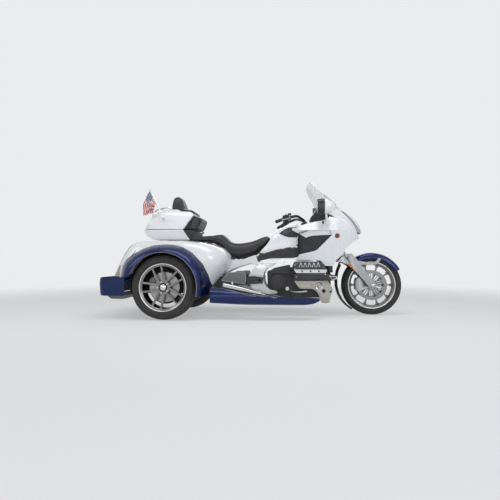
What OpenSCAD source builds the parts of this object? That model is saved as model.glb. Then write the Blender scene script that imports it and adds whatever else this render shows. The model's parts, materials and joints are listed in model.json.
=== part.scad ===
// Touring trike: one steered front wheel, two driven rear wheels and a flat six engine.
// Millimetres. X points forward, Y to the rider's left and Z up.
// The origin is on the floor, halfway along the vehicle and midway between the rear wheels.

/* [Stance] */
// Distance between the front axle and the rear axle
wheelbase = 2116; // [2106:1:2126]
// How far the bumper reaches behind the rear axle
tail_overhang = 652; // [648:1:660]
// Distance between the middles of the rear tyres
track = 1180; // [1174:1:1184]

/* [Wheels] */
// Outer radius of the front tyre
front_tyre_r = 320; // [316:1:322]
// Width of the front tyre
front_tyre_w = 130; // [124:1:134]
// Outer radius of a rear tyre
rear_tyre_r = 320; // [316:1:322]
// Width of a rear tyre
rear_tyre_w = 205; // [200:1:210]
// Bead seat radius of the front rim
front_seat_r = 232; // [230:1:234]
// Bead seat radius of a rear rim
rear_seat_r = 218; // [215:1:221]
// Outer radius of a front brake disc
front_disc_r = 160; // [156:1:164]
// Radius of the front axle
front_axle_r = 12; // [10:0.5:14]
// Radius of a rear stub axle
stub_r = 20; // [18:0.5:24]

/* [Steering] */
// Rake of the steering axis from the vertical, degrees
rake = 36; // [35.5:0.1:36.5]
// Distance from the tyre's contact point forward to the steering axis on the floor
trail = 80; // [76:1:84]
// Space between the front fender and the fork's bridge
bridge_gap = 50.1; // [40:0.1:60]
// Height of the lower suspension arm over the bridge's underside
arm_rise = 86; // [80:1:92]
// Distance between the two suspension arms
arm_gap = 130; // [110:1:150]
// Half the distance between the two fork legs
fork_half = 101; // [99:1:104]
// Radius of the two steering pins
steer_pin_r = 10; // [8:0.5:12]

/* [Bodywork] */
// Half of the width over the rear flares
flare_half = 725; // [720:1:735]
// Gap between a rear tyre and the lip of its flare
arch_gap = 20; // [18:1:24]
// Wall of the painted body panels
skin = 5; // [4:0.5:6]
// Width of the seam between the deck and the rear hatch
hatch_gap = 10; // [10:0.5:12]

/* [Trunk] */
// Wall of the touring trunk
trunk_wall = 6; // [5:0.5:8]
// Half of the width of the touring trunk
trunk_half = 285; // [280:1:290]
// Gap between the lid and the box of the touring trunk
lid_gap = 6; // [5:0.5:8]

/* [Hidden] */
$fn = 48;

// Paint and finish colours
white = [0.86, 0.88, 0.9];
blue = [0.02, 0.1, 0.42];
black = [0.06, 0.06, 0.07];
dark = [0.15, 0.15, 0.16];
silver = [0.62, 0.63, 0.65];
chrome = [0.8, 0.8, 0.82];

// Where the axles are
length = wheelbase + front_tyre_r + tail_overhang;
xf = length / 2 - front_tyre_r;
xr = xf - wheelbase;
zf = front_tyre_r;
zr = rear_tyre_r;

// Radial gap of a turning fit, gap between faces that are screwed together,
// and least gap between pieces that move past each other
fit = 0.1;
seat_gap = 0.3;
vent_t = 4;
clear = 6;

// Steering axis: the point where it meets the floor, and how far up it the two arms are
steer_foot = [xf + trail, 0, 0];
fender_gap = 24;
fender_wall = 5;
bridge_h = trail * sin(rake) + front_tyre_r * (1 + cos(rake)) + fender_gap + fender_wall + bridge_gap;
arm_h = [bridge_h + arm_rise, bridge_h + arm_rise + arm_gap];
// Point of the handlebar's own axis, which is parallel to the steering axis
bar_pivot = [xf - 698, 0, 960];
bar_post_r = 20;

// Hinges of the trunk lid and of the rear hatch, as X and Z
lid_hinge = [xr + 246, 906];
hatch_hinge = [xr - 350, 774];
lid_pin_r = 4;
hatch_pin_r = 2.5;
hatch_knuckle_r = 5;

// Turns local coordinates so that Z lies along the raked axis through a point
module raked(point) {
    translate(point) rotate([0, -rake, 0]) children();
}

// Extrudes a side view drawn in X and Z between two values of Y
module side_plate(y0, y1) {
    translate([0, y1, 0]) rotate([90, 0, 0]) linear_extrude(y1 - y0) children();
}

// The same, with X counted from the front axle
module front_plate(y0, y1) {
    translate([xf, 0, 0]) side_plate(y0, y1) children();
}

// The same, with X counted from the rear axle
module tail_plate(y0, y1) {
    translate([xr, 0, 0]) side_plate(y0, y1) children();
}

module square_between(a, b) {
    translate(a) square(b - a);
}

// A round bar between two points
module bar(a, b, r) {
    d = b - a;
    h = norm(d);
    translate(a) rotate([0, acos(d[2] / h), atan2(d[1], d[0])]) cylinder(r = r, h = h);
}

// A cylinder along Y through a point, between two values of Y
module cross_bar(x, z, y0, y1, r) {
    translate([x, y1, z]) rotate([90, 0, 0]) cylinder(r = r, h = y1 - y0);
}

// The right-hand solid and its mirror image
module both_sides() {
    children();
    mirror([0, 1, 0]) children();
}

// Points of an arc in a plane, from angle a0 to a1 in n steps
function arc(c, r, a0, a1, n) =
    [for (i = [0:n]) let (a = a0 + (a1 - a0) * i / n) [c[0] + r * cos(a), c[1] + r * sin(a)]];

function mix(a, b, t) = a + (b - a) * t;

// A thick sheet between an outer and an inner grid of points. The outer face looks towards
// the cross product of the direction from row to row and the direction along a row.
module thick_sheet(outer, inner) {
    m = len(outer);
    n = len(outer[0]);
    o = m * n;
    rows = [0:m - 2];
    cols = [0:n - 2];
    points = concat([for (r = outer) each r], [for (r = inner) each r]);
    faces = concat(
        [for (i = rows, j = cols) let (a = i * n + j) each [[a, a + n + 1, a + n], [a, a + 1, a + n + 1]]],
        [for (i = rows, j = cols) let (a = o + i * n + j) each [[a, a + n, a + n + 1],
            [a, a + n + 1, a + 1]]],
        [for (i = rows) let (a = i * n, b = o + a) each [[a, b + n, b], [a, a + n, b + n]]],
        [for (i = rows) let (a = i * n + n - 1, b = o + a) each [[a, b, b + n], [a, b + n, a + n]]],
        [for (j = cols) let (a = j, b = o + j) each [[a, b + 1, a + 1], [a, b, b + 1]]],
        [for (j = cols) let (a = (m - 1) * n + j, b = o + a) each [[a, a + 1, b + 1], [a, b + 1, b]]]
    );
    polyhedron(points = points, faces = faces);
}

// A solid loft through closed rings that follow each other along +X,
// each ring running from +Y up over +Z
module loft(rings) {
    m = len(rings);
    n = len(rings[0]);
    polyhedron(
        points = [for (r = rings) each r],
        faces = concat(
            [for (i = [0:m - 2], j = [0:n - 1]) let (a = i * n + j, b = i * n + (j + 1) % n)
                each [[a, a + n, b + n], [a, b + n, b]]],
            [[for (j = [0:n - 1]) j]],
            [[for (j = [0:n - 1]) m * n - 1 - j]]
        )
    );
}

function unit(v) = v / norm(v);

// A path whose inner corners are rounded, each from d before the corner to d after it
function rounded(path, d, n = 4) = concat(
    [path[0]],
    [for (i = [1:len(path) - 2])
        let (p = path[i], a = p + d * unit(path[i - 1] - p), b = p + d * unit(path[i + 1] - p))
        each [for (k = [0:n]) let (t = k / n) (1 - t) * (1 - t) * a + 2 * t * (1 - t) * p + t * t * b]],
    [path[len(path) - 1]]
);

// A round tube of n sides that follows a path; radii may be one number or one for each point
module tube(path, radii, n = 12) {
    last = len(path) - 1;
    loft([for (i = [0:last])
        let (t = unit(path[min(i + 1, last)] - path[max(i - 1, 0)]), r = is_num(radii) ? radii : radii[i])
        let (u = unit(cross([0.01, 0.02, 1], t)), v = cross(t, u))
        [for (k = [0:n - 1]) path[i] + r * (cos(360 * k / n) * u + sin(360 * k / n) * v)]]);
}

// A closed outline with its corners rounded, each from r before the corner to r after it
function soft(p, r, n = 4) = [for (i = [0:len(p) - 1])
    let (a = p[(i + len(p) - 1) % len(p)], b = p[i], c = p[(i + 1) % len(p)], q = is_num(r) ? r : r[i])
    let (u = b + min(q, 0.45 * norm(a - b)) * unit(a - b), v = b + min(q, 0.45 * norm(c - b)) * unit(c - b))
    each [for (k = [0:n]) let (t = k / n) (1 - t) * (1 - t) * u + 2 * t * (1 - t) * b + t * t * v]];

// An outline that runs anticlockwise, moved inwards by d
function inset(p, d) = [for (i = [0:len(p) - 1])
    let (e = unit(p[i] - p[(i + len(p) - 1) % len(p)]), f = unit(p[(i + 1) % len(p)] - p[i]))
    p[i] + d * ([-e[1], e[0]] + [-f[1], f[0]]) / (1 + e * f)];

// A solid from its outlines in side view (X, Z), in plan (X, Y) and from the front (Y, Z)
module three_view(side, plan, front) intersection() {
    side_plate(-900, 900) polygon(side);
    translate([0, 0, -100]) linear_extrude(1800) polygon(plan);
    translate([-900, 0, 0]) rotate([90, 0, 90]) linear_extrude(1800) polygon(front);
}

// A turned piece along a line between two points, drawn as radius and distance
module turned_along(a, b, profile) {
    d = b - a;
    translate(a) rotate([0, acos(d[2] / norm(d)), atan2(d[1],
        d[0])]) rotate_extrude($fn = 64) polygon(profile);
}

// One closed superellipse ring at x, between heights z0 and z1, half as wide as w
function oval(x, w, z0, z1, e, n) =
    [for (i = [0:n - 1]) let (t = 360 * i / n, c = cos(t), s = sin(t))
        [x, w * sign(c) * pow(abs(c), e), (z0 + z1) / 2 + (z1 - z0) / 2 * sign(s) * pow(abs(s), e)]];

// An open arch section at x from the right foot over the top to the left foot
function arch(x, w, z0, z1, e, n) =
    [for (i = [0:n]) let (t = 180 - 180 * i / n, c = cos(t), s = sin(t))
        [x, w * sign(c) * pow(abs(c), e), z0 + (z1 - z0) * pow(s, e)]];

// A ring turned about the Y axis at the middle of a wheel, drawn as radius and side distance
module turned(profile) {
    rotate([-90, 0, 0]) rotate_extrude($fn = 96) polygon(profile);
}

// Front wheel
front_hub_half = 58;
rim_lip = 20;
disc_t = 5;

module at_front_axle() {
    translate([xf, 0, zf]) children();
}

module front_tyre() color(black) at_front_axle() {
    w = front_tyre_w / 2;
    crown = 75;
    lip = front_seat_r + rim_lip;
    turned(concat(
        [[front_seat_r, -45.5], [lip + 1, -47], [lip + 8, -w * 0.9], [lip + 26, -w]],
        arc([front_tyre_r - crown, 0], crown, -52, 52, 8),
        [[lip + 26, w], [lip + 8, w * 0.9], [lip + 1, 47], [front_seat_r, 45.5]]
    ));
}

module front_rim() color(silver) at_front_axle() difference() {
    lip = front_seat_r + rim_lip;
    union() {
        turned([
            [lip, -54], [lip, -48], [front_seat_r, -46], [front_seat_r, 46], [lip, 48], [lip, 54],
            [lip - 8, 54], [front_seat_r - 10, 44], [front_seat_r - 16, 0], [front_seat_r - 10, -44],
                [lip - 8, -54]
        ]);
        rotate([90, 0, 0]) cylinder(r = 48, h = 2 * front_hub_half, center = true);
        for (i = [0:9]) rotate([0, 36 * i, 0]) translate([0, 11, 0]) rotate([90, 0, 0])
            linear_extrude(22) polygon([
                [30, -9], [188, -7], [front_seat_r - 13, -22], [front_seat_r - 13, 22], [188, 7], [30, 9]
            ]);
    }
    rotate([90, 0, 0]) cylinder(r = front_axle_r + fit, h = 4 * front_hub_half, center = true);
}

module front_discs() color(silver) at_front_axle() both_sides()
    translate([0, -front_hub_half, 0]) rotate([90, 0, 0]) linear_extrude(disc_t) difference() {
        union() {
            difference() {
                circle(front_disc_r);
                circle(front_disc_r - 34);
            }
            for (i = [0:9], s = [-1, 1]) rotate(36 * i)
                polygon([[34, -5], [front_disc_r - 30, s * 30 - 5], [front_disc_r - 30, s * 30 + 5],
                    [34, 5]]);
            circle(44);
        }
        circle(front_axle_r + fit);
    }

// Rear wheels, drawn for the right-hand side
rear_half = rear_tyre_w / 2;

module at_rear_axle() {
    translate([xr, -track / 2, zr]) children();
}

module rear_tyre() color(black) at_rear_axle() {
    lip = rear_seat_r + 18;
    turned(concat(
        [[rear_seat_r + seat_gap, -rear_half + 19], [lip + 1, -rear_half + 17], [lip + 10, -rear_half + 6]],
        [[lip + 32, -rear_half], [rear_tyre_r - 24, -rear_half + 3]],
        arc([rear_tyre_r - 20, -rear_half + 24], 20, -75, 0, 4),
        arc([rear_tyre_r - 20, rear_half - 24], 20, 0, 75, 4),
        [[rear_tyre_r - 24, rear_half - 3], [lip + 32, rear_half]],
        [[lip + 10, rear_half - 6], [lip + 1, rear_half - 17], [rear_seat_r + seat_gap, rear_half - 19]]
    ));
}

module rear_rim() color(silver) at_rear_axle() difference() {
    union() {
        o = rear_half - 10;
        lip = rear_seat_r + 18;
        turned([
            [lip, -o], [lip, -o + 6], [rear_seat_r, -o + 8], [rear_seat_r, o - 8], [lip, o - 6], [lip, o],
            [lip - 10, o], [rear_seat_r - 10, o - 12], [rear_seat_r - 14, 0],
            [rear_seat_r - 10, -o + 12], [lip - 10, -o]
        ]);
        translate([0, -38, 0]) rotate([90, 0, 0]) cylinder(r = 66, h = 34);
        rotate([90, 0, 0]) cylinder(r = 52, h = 50);
        for (i = [0:4], s = [-1, 1]) rotate([0, 72 * i + 36, 0]) translate([0, -44, 0]) rotate([90, 0, 0])
            linear_extrude(28) polygon([
                [40, s * 27 - 9], [rear_seat_r - 11, s * 46 - 9], [rear_seat_r - 11, s * 46 + 9],
                    [40, s * 27 + 9]
            ]);
    }
    translate([0, 20, 0]) rotate([90, 0, 0]) cylinder(r = stub_r + fit, h = 50);
}

// Where the inner ends of the two stub axles are seated
hub_y = track / 2 - rear_half + 6;
pivot_x = xf - 1190;
pivot_z = 380;
arm_y = 300;

// Rear axle: differential, cross tube, trailing arms and the stub axles that carry the wheels
module rear_axle() color(dark) difference() {
    union() {
        translate([xr, 0, zr]) rotate([90, 0, 0]) {
            cylinder(r = 105, h = 150, center = true);
            cylinder(r = 80, h = 230, center = true);
            cylinder(r = 38, h = 2 * hub_y, center = true);
        }
        both_sides() {
            cross_bar(xr, zr, -hub_y, -hub_y + 46, 78);
            side_plate(-arm_y - 22, -arm_y + 22) polygon([
                [xr - 40, zr], [xr + 40, zr], [xr + 26, floor_z - seat_gap], [xr - 26, floor_z - seat_gap]
            ]);
            cross_bar(xr, zr, -track / 2 - 26, -hub_y, stub_r);
            side_plate(-arm_y - 22, -arm_y + 22) polygon([
                [xr - 55, zr - 40], [xr + 110, zr - 50], [pivot_x - 70, pivot_z - 40],
                    [pivot_x + 30, pivot_z - 34],
                [pivot_x + 36, pivot_z + 30], [pivot_x - 70, pivot_z + 40], [xr + 110, zr + 55],
                    [xr - 55, zr + 45]
            ]);
        }
        cross_bar(pivot_x, pivot_z, -arm_y - 10, arm_y + 10, 26);
    }
    cross_bar(pivot_x, pivot_z, -arm_y - 30, arm_y + 30, 12);
}

// Twin-spar frame with its pivot plates, head box and the bearing of the handlebar
module frame() color(silver) {
    spar = [
        [-1240, 532], [-1100, 500], [-1000, 574], [-700, 574], [-540, 600], [-560, 830],
        [-660, 806], [-930, 662], [-1189, 564]
    ];
    both_sides() {
        difference() {
            front_plate(-226, -190) polygon(soft([
                [-1243, 532], [-1320, 409], [-1300, 323], [-1264, 280], [-1190, 226], [-1010, 236],
                    [-1010, 262],
                [-1090, 278], [-1140, 323], [-1160, 409], [-1150, 462], [-1110, 505], [-1100, 566],
                    [-1189, 562]
            ], 24));
            cross_bar(pivot_x, pivot_z, -300, 300, 26 + fit);
            front_plate(-240, -214) polygon(soft([[-1262, 500], [-1296, 410], [-1278, 335], [-1236, 340],
                [-1232, 410], [-1200, 490]], 14));
        }
        front_plate(-190, -152) polygon(soft(spar, 20));
        front_plate(-226, -212) square_between([-1262, 184], [-1236, 300]);
        front_plate(-432 + seat_gap, -212) square_between([-1262, 184], [-1236, 196]);
        front_plate(-202, -186) polygon(soft([
            [-1238, 540], [-1180, 556], [-1000, 560], [-936, 540], [-936, 572], [-1000, 600], [-1189, 574]
        ], 12));
        tube(rounded([[xf - 1150, -140, 556], [xf - 1500, -140, 560], [xf - 1640, -140, 640],
            [xf - 1907, -140, 700]], 60), 13);
    }
    for (x = [-1466, -1412])
        front_plate(-150, 150) square_between([x, 552], [x + 24, 603 - seat_gap]);
    front_plate(-150, 150) square_between([-1800, 660], [-1776, 786 - seat_gap]);
    front_plate(-150, 150) square_between([-1898, 690], [-1868, body_levels[7][0] + 4]);
    intersection() {
        front_plate(-150, 150) square_between([-1898, 690], [-1868, 900]);
        stack([for (i = [7:10]) body_ring(body_levels[i], skin + seat_gap)]);
    }
    front_plate(-152, 152) polygon(soft([[-640, 790], [-600, 830], [-560, 830], [-560, 800]], 6));
    for (x = [-960, -860])
        intersection() {
            front_plate(-189, 189) square_between([x, 640], [x + 24, 1000]);
            translate([xf + x, 0, 0]) rotate([90, 0, 90]) linear_extrude(24) difference() {
                d = skin + 2 * seat_gap + vent_t;
                union() {
                    polygon(arch_flat(tank_at(1, x) - d, 600, tank_at(3, x) - d, 0.55));
                    intersection() {
                        polygon(arch_flat(tank_at(1, x) - skin - seat_gap, 600,
                            tank_at(3, x) - skin - seat_gap, 0.55));
                        square_between([-100, 600], [100, 1100]);
                    }
                }
                polygon(arch_flat(tank_at(1, x) - d - 26, 590, tank_at(3, x) - d - 26, 0.55));
            }
        }
    front_plate(-152, 152) polygon(soft([[-1180, 520], [-1130, 520], [-1130, 556], [-1180, 556]], 10));
    difference() {
        union() {
            raked(bar_pivot) translate([0, 0, -60]) cylinder(r = bar_post_r + 14, h = 60);
            front_plate(-30, 30) polygon([[-640, 800], [-600, 800], [-600, 830], [-655, 915], [-700, 890],
                [-660, 820]]);
        }
        raked(bar_pivot) translate([0, 0, -61]) cylinder(r = bar_post_r + fit, h = 80);
    }
}

cover_x = xf - 1004;
cover_z = 352;
engine_top = arm_h[0] * cos(rake) - 130;
pad_z = 182;

module engine() color(dark) {
    front_plate(-150, 150) polygon(soft([
        [-1110, 250], [-1080, 224], [-890, 190], [-450, 190], [-440, 210], [-450, engine_top],
            [-890, engine_top], [-920, 520], [-1120, 470]
    ], 18));
    both_sides() {
        cross_bar(cover_x, cover_z, -186, -150, 84);
        cross_bar(cover_x, cover_z, -193, -186, 62);
        for (a = [0:60:300])
            cross_bar(cover_x + 73 * cos(a), cover_z + 73 * sin(a), -190, -186, 6);
        front_plate(-178, -150) polygon(soft([[-1096, 446], [-880, 446], [-870, 540], [-1060, 500]], 20));
    }
    front_plate(-55, 55) square_between([-725, pad_z], [-615, 192]);
    both_sides() front_plate(-432 + seat_gap, -148) square_between([-868, 194], [-846, 206]);
}

module cylinder_heads() color(black) both_sides() {
    difference() {
        translate([xf, 0, 0]) three_view(
            soft([[-835, 452], [-500, 452], [-485, 480], [-510, 508], [-572, 573.7], [-820, 573.7],
                [-848, 510]],
                [10, 10, 8, 8, 14, 14, 20]),
            soft([[-850, -348], [-480, -340], [-480, -150.3], [-850, -150.3]], [26, 34, 2, 2]),
            soft([[-348, 452], [-150.3, 452], [-150.3, 573.7], [-322, 573.7], [-348, 545]],
                [6, 0, 0, 14, 14])
        );
        for (i = [0:4], s = [-1, 1])
            translate([xf - 788 + 44 * i + 22, -350, 538]) rotate([-90, 0, 0]) linear_extrude(10)
                polygon([[s * 20, -24], [s * 11, -24], [s * -2, 24], [s * 7, 24]]);
    }
    difference() {
        translate([xf, 0, 0]) three_view(
            soft([[-840, 383], [-462, 378], [-394, 386], [-400, 430], [-500, 447.7], [-838, 447.7]],
                [8, 10, 12, 14, 10, 6]),
            soft([[-845, -352], [-500, -366], [-392, -330], [-392, -150], [-845, -150]],
                [20, 40, 20, 2, 2]),
            soft([[-366, 392], [-340, 376], [-150, 376], [-150, 450], [-352, 450], [-366, 436]], 10)
        );
        for (z = [396, 412, 428])
            front_plate(-372, -358) square_between([-790, z - 2.5], [-520, z + 2.5]);
    }
}

module lower_cowl() color(silver) both_sides() {
    difference() {
        translate([xf, 0, 0]) three_view(
            soft([[-833, 374], [-780, 293], [-640, 290], [-588, 251], [-546, 140], [-471, 140], [-450, 229],
                [-430, 283], [-482, 374]], [6, 20, 20, 20, 14, 14, 20, 20, 10]),
            soft([[-840, -292], [-600, -296], [-430, -240], [-430, -150.3], [-840, -150.3]],
                [16, 60, 20, 2, 2]),
            soft([[-296, 380], [-290, 250], [-235, 132], [-150.3, 132], [-150.3, 380]], [10, 50, 30, 2, 2])
        );
        cross_bar(xf - 577, 318, -320, -262, 34);
        cross_bar(xf - 528, 268, -320, -250, 20);
        front_plate(-320, -284) polygon(soft([[-800, 350], [-760, 312], [-660, 312], [-650, 350]], 10));
    }
    difference() {
        cross_bar(xf - 577, 318, -288, -262.3, 33.7);
        cross_bar(xf - 577, 318, -290, -272, 28);
    }
    cross_bar(xf - 577, 318, -280, -262.3, 9);
}

module exhausts() color(chrome) both_sides() {
    turned_along([xf - 1572, -372, 321], [xf - 1205, -372, 244], [
        [0, 16], [29, 16], [31, 0], [37, 0], [40, 5], [40, 14], [38, 186], [36, 210], [23, 360], [23, 372],
            [0, 372]
    ]);
    tube(rounded([[xf - 1225, -372, 248], [xf - 1150, -370, 232], [xf - 960, -175, 168],
        [xf - 790, -120, 168]], 60), 20);
    translate([xf - 800, -120, 145]) cylinder(r = 24, h = 190 - seat_gap - 145);
    front_plate(-342, -330) polygon(soft([
        [-1590, 372], [-1430, 352], [-1338, 340], [-1330, 390], [-1340, 470], [-1500, 462], [-1548, 430]
    ], 16));
    front_plate(-372, -336) square_between([-1480, 330], [-1460, 366]);
}

module radiators() color(black) both_sides() {
    front_plate(-285.4, -190) polygon([[-476, 460], [-436, 460], [-446, 740], [-486, 740]]);
    for (z = [620, 690])
        front_plate(-198, -190 - seat_gap) polygon([[-600, z], [-440, z - 12], [-440, z + 16],
            [-600, z + 24]]);
}

module footpegs() color(black) both_sides() {
    bar([xf - 905, -400, 296], [xf - 905, -262, 296], 15);
    for (y = [-392:14:-280])
        cross_bar(xf - 905, 296, y, y + 7, 18);
    bar([xf - 905, -270, 296], [xf - 905, -150.3, 296], 9);
    tube(rounded([[xf - 905, -180, 296], [xf - 860, -270, 262], [xf - 800, -318, 258],
        [xf - 720, -318, 266]], 30), 7);
    front_plate(-345, -295) polygon(soft([[-748, 262], [-700, 264], [-700, 274], [-748, 272]], 4));
}

// Upper and lower arm of the front suspension, with the eyes that the steering pins turn in
module wishbones() color(dark) difference() {
    union() {
        for (h = arm_h) {
            x = steer_foot[0] - h * sin(rake);
            z = h * cos(rake);
            raked(steer_foot) translate([0, 0, h - 15]) cylinder(r = 22, h = 30);
            both_sides() tube(rounded([[x - 12, -8, z - 11], [x - 60, -60, z - 18],
                [xf - 590, -125, z - 15]], 30), 11);
            cross_bar(xf - 590, z - 15, -152, 152, 16);
        }
    }
    raked(steer_foot) translate([0, 0, arm_h[0] - 40]) cylinder(r = steer_pin_r + fit,
        h = arm_gap + 130);
}

// Point x ahead of the steering axis and h up along it, counted from the front axle
function on_rake(x, h) = [trail + x * cos(rake) - h * sin(rake), x * sin(rake) + h * cos(rake) - zf];

module fork() color(silver) {
    leg = 14;
    both_sides() {
        translate([xf, 0, zf]) side_plate(-fork_half - leg, -fork_half + leg) polygon(soft([
            [-28, -24], [-60, 10], [-150, 120], on_rake(53.4, bridge_h - 70),
            on_rake(77.2, bridge_h + 5.3), on_rake(143.5, bridge_h + 16.5), on_rake(154, bridge_h - 50.6),
            [-110, 200], [36, 12], [26, -24]
        ], 16));
        translate([xf, 0, zf]) side_plate(-fork_half + leg, -fork_half + leg + 10) polygon(soft([
            [-30, 20], [-60, -40], [-150, -70], [-176, 0], [-160, 80], [-90, 60]
        ], 12));
        translate([xf, 0, zf]) side_plate(-92.3, -84.3) polygon(soft([
            [-150, 262], [-140, 228], [-20, 213], [62, 230], [94, 286], [66, 292], [38, 254], [-20, 242]
        ], 10));
        cross_bar(xf, zf, -fork_half - leg - 12, -fork_half, 20);
    }
    cross_bar(xf, zf, -fork_half - leg - 16, fork_half + leg + 16, front_axle_r);
    raked(steer_foot) {
        reach = arm_gap + 120;
        translate([44, -fork_half - leg, bridge_h]) cube([56, 2 * (fork_half + leg), 70]);
        difference() {
            translate([34, -36, bridge_h]) cube([46, 72, reach]);
            for (s = [-1, 1])
                translate([57, s * 36, bridge_h + reach / 2 + 10]) cube([26, 28, reach - 60],
                    center = true);
        }
        for (h = arm_h) {
            translate([0, 0, h - 34]) cylinder(r = steer_pin_r, h = 68);
            for (z = [h - 34, h + 18]) {
                translate([0, 0, z]) cylinder(r = steer_pin_r + 6, h = 16);
                translate([0, -16, z]) cube([60, 32, 16]);
            }
        }
    }
}

module fork_covers() color(silver) both_sides() intersection() {
    front_plate(-fork_half - 40, -fork_half - 14 - seat_gap) polygon(soft([
        [-382, 568], [-318, 566], [-242, 526], [-48, 342], [6, 288], [39, 310], [28, 353],
        [-59, 461], [-113, 526], [-167, 607], [-242, 656], [-297, 645]
    ], 18));
    translate([xf, 0, 0]) raked([80, 0, 0]) translate([-20, 0, 0]) linear_extrude(900)
        polygon(soft([[-90, -150], [-90, -100], [90, -100], [90, -116], [20, -152], [-20, -152]],
            [4, 4, 4, 10, 20, 10]));
}

// Cross section of a fender at angle a round the wheel, from the right edge to the left
function fender_ring(a, r, w, drop) = [for (j = [0:12]) let (t = 180 - 15 * j, c = cos(t), s = sin(t))
    let (q = r - drop * (1 - pow(s, 0.7))) [q * cos(a), w * sign(c) * pow(abs(c), 0.7), q * sin(a)]];

module front_fender() color(blue) at_front_axle() {
    rows = [for (a = [128:-7:30]) a];
    r = front_tyre_r + fender_gap + fender_wall;
    thick_sheet(
        [for (a = rows) fender_ring(a, r, 84, 60)],
        [for (a = rows) fender_ring(a, r - fender_wall, 84 - fender_wall, 60)]
    );
}

// Rear part of the front fender, which hangs behind the tyre
module mud_guard() color(black) at_front_axle() {
    stations = [[146, 414], [158, 404], [170, 394], [182, 386], [194, 378], [206, 368], [218, 356],
        [230, 344]];
    rows = [for (k = [len(stations) - 1:-1:0]) stations[k]];
    thick_sheet(
        [for (s = rows) fender_ring(s[0], s[1], 80, 18)],
        [for (s = rows) fender_ring(s[0], s[1] - 4, 76, 18)]
    );
    translate([trail, 0, -zf]) raked([0, 0, 0]) both_sides() side_plate(-70, -40) polygon([
        [-20, 690], [44 - seat_gap, 699], [44 - seat_gap, 740], [39, 740], [39, 705], [-20, 696]
    ]);
}

pad_clear = 5;

module calipers() color(dark) both_sides() at_front_axle() {
    r = front_disc_r - 46;
    difference() {
        translate([-r - 60, -fork_half + 24 + seat_gap, -52]) cube([60, fork_half - 24 - 44, 104]);
        translate([-front_disc_r - pad_clear - 1, -front_hub_half - disc_t - pad_clear, -60])
            cube([60, disc_t + 2 * pad_clear, 120]);
    }
}

// Handlebar: post, clamp and the two bars, on an axis parallel to the steering axis
bar_path = [[-722, -46, 1022], [-800, -190, 1060], [-920, -300, 1022], [-1010, -425, 978]];

clamp_r = 15;

module handlebar() color(silver) {
    raked(bar_pivot) {
        translate([0, 0, -60]) cylinder(r = bar_post_r, h = 80);
        translate([-30, -62, 20]) cube([60, 124, 34]);
    }
    ends = [for (p = bar_path) [xf, 0, 0] + p];
    both_sides() {
        tube(rounded([ends[0], ends[1], ends[2], mix(ends[2], ends[3], 0.26)], 36), 14);
        bar(mix(ends[2], ends[3], 0.2), ends[3], 11);
        bar(mix(ends[2], ends[3], 0.02), mix(ends[2], ends[3], 0.22), 24);
        bar(mix(ends[1], ends[2], 0.2), mix(ends[1], ends[2], 0.76), clamp_r);
        translate(ends[2] + [2, -6, 20]) rotate([0, -12, 54]) cube([58, 40, 30], center = true);
        tube(rounded([ends[2] + [22, -2, 10], ends[2] + [34, -20, 4], ends[3] + [44, -6, 4]], 22), 6);
    }
}

module grips() color(black) both_sides() {
    a = [xf, 0, 0] + bar_path[3];
    b = [xf, 0, 0] + bar_path[2];
    difference() {
        bar(a - (b - a) * 0.04, a + (b - a) * 0.74, 17);
        bar(a - (b - a) * 0.002, a + (b - a) * 1.2, 11.3);
    }
}

// Half width of the front bodywork, with X counted from the front axle.
// Its crease runs along at crease_z.
crease_z = 897;
function fairing_y(x, z) =
    let (u = (x + 540) / (x > -540 ? 440 : 420))
    let (w = 345 * pow(max(0.03, 1 - pow(abs(u), 2.3)), 0.5))
    w - (z > crease_z ? 0.55 * (z - crease_z) : 0.13 * (crease_z - z));

// Curved sheet of the right-hand front bodywork, sunk inwards by depth
vent_levels = [600, 700, 800, 850, crease_z, 940];
module fairing_sheet(depth, wall, first = 0, last = 20, zs = concat([505], vent_levels, [990, 1060])) {
    xs = [for (i = [first:last]) -880 + 38 * i];
    translate([xf, 0, 0]) thick_sheet(
        [for (x = xs) [for (z = zs) [x, -fairing_y(x, z) + depth, z]]],
        [for (x = xs) [for (z = zs) [x, -fairing_y(x, z) + depth + wall, z]]]
    );
}

vent_outline = [
    [-776, 648], [-629, 680], [-597, 695], [-451, 842], [-461, crease_z - 2], [-671, crease_z - 2],
    [-780, 860], [-788, 800], [-784, 700]
];

module fairing_sides() color(white) both_sides() intersection() {
    fairing_sheet(0, skin);
    front_plate(-400, -60) difference() {
        polygon([
            [-849, 900], [-776, 947], [-650, 978], [-514, 1005], [-461, 1041], [-356, 1020], [-252, 968],
            [-178, 884], [-147, 816], [-231, 769], [-304, 701], [-335, 643], [-398, 591],
            [-430, 528], [-514, 528], [-566, 585], [-818, 591], [-840, 700], [-870, 800]
        ]);
        polygon(vent_outline);
        polygon([
            [-900, 560], [-818, 585], [-776, 649], [-784, 700], [-788, 800], [-780, 860],
            [-671, crease_z - 3], [-849, 898], [-920, 898]
        ]);
    }
}

cowl_stations = [
    [-470, 178, 1075, 1197], [-420, 176, 1040, 1180], [-380, 170, 1008, 1166], [-330, 161, 980, 1138],
    [-280, 150, 955, 1109], [-230, 134, 930, 1078], [-190, 116, 906, 1046], [-150, 92, 886, 1006],
    [-122, 68, 874, 960], [-104, 40, 872, 915]
];
lamp_slit = [
    [-330, 1122], [-316, 1094], [-250, 1030], [-190, 952], [-158, 884], [-118, 868], [-112, 892],
    [-150, 942], [-196, 1006], [-250, 1062], [-308, 1118]
];

// Arched sheet over the nose, sunk inwards by depth
module cowl_sheet(depth, wall) thick_sheet(
    [for (s = cowl_stations) arch(xf + s[0], s[1] - depth, s[2], s[3] - depth, 0.75, 16)],
    [for (s = cowl_stations) arch(xf + s[0], s[1] - depth - wall, s[2], s[3] - depth - wall, 0.75, 16)]
);

module upper_cowl() color(white) difference() {
    cowl_sheet(0, skin);
    both_sides() front_plate(-220, -46) polygon(soft(lamp_slit, 8, 2));
}

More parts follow.
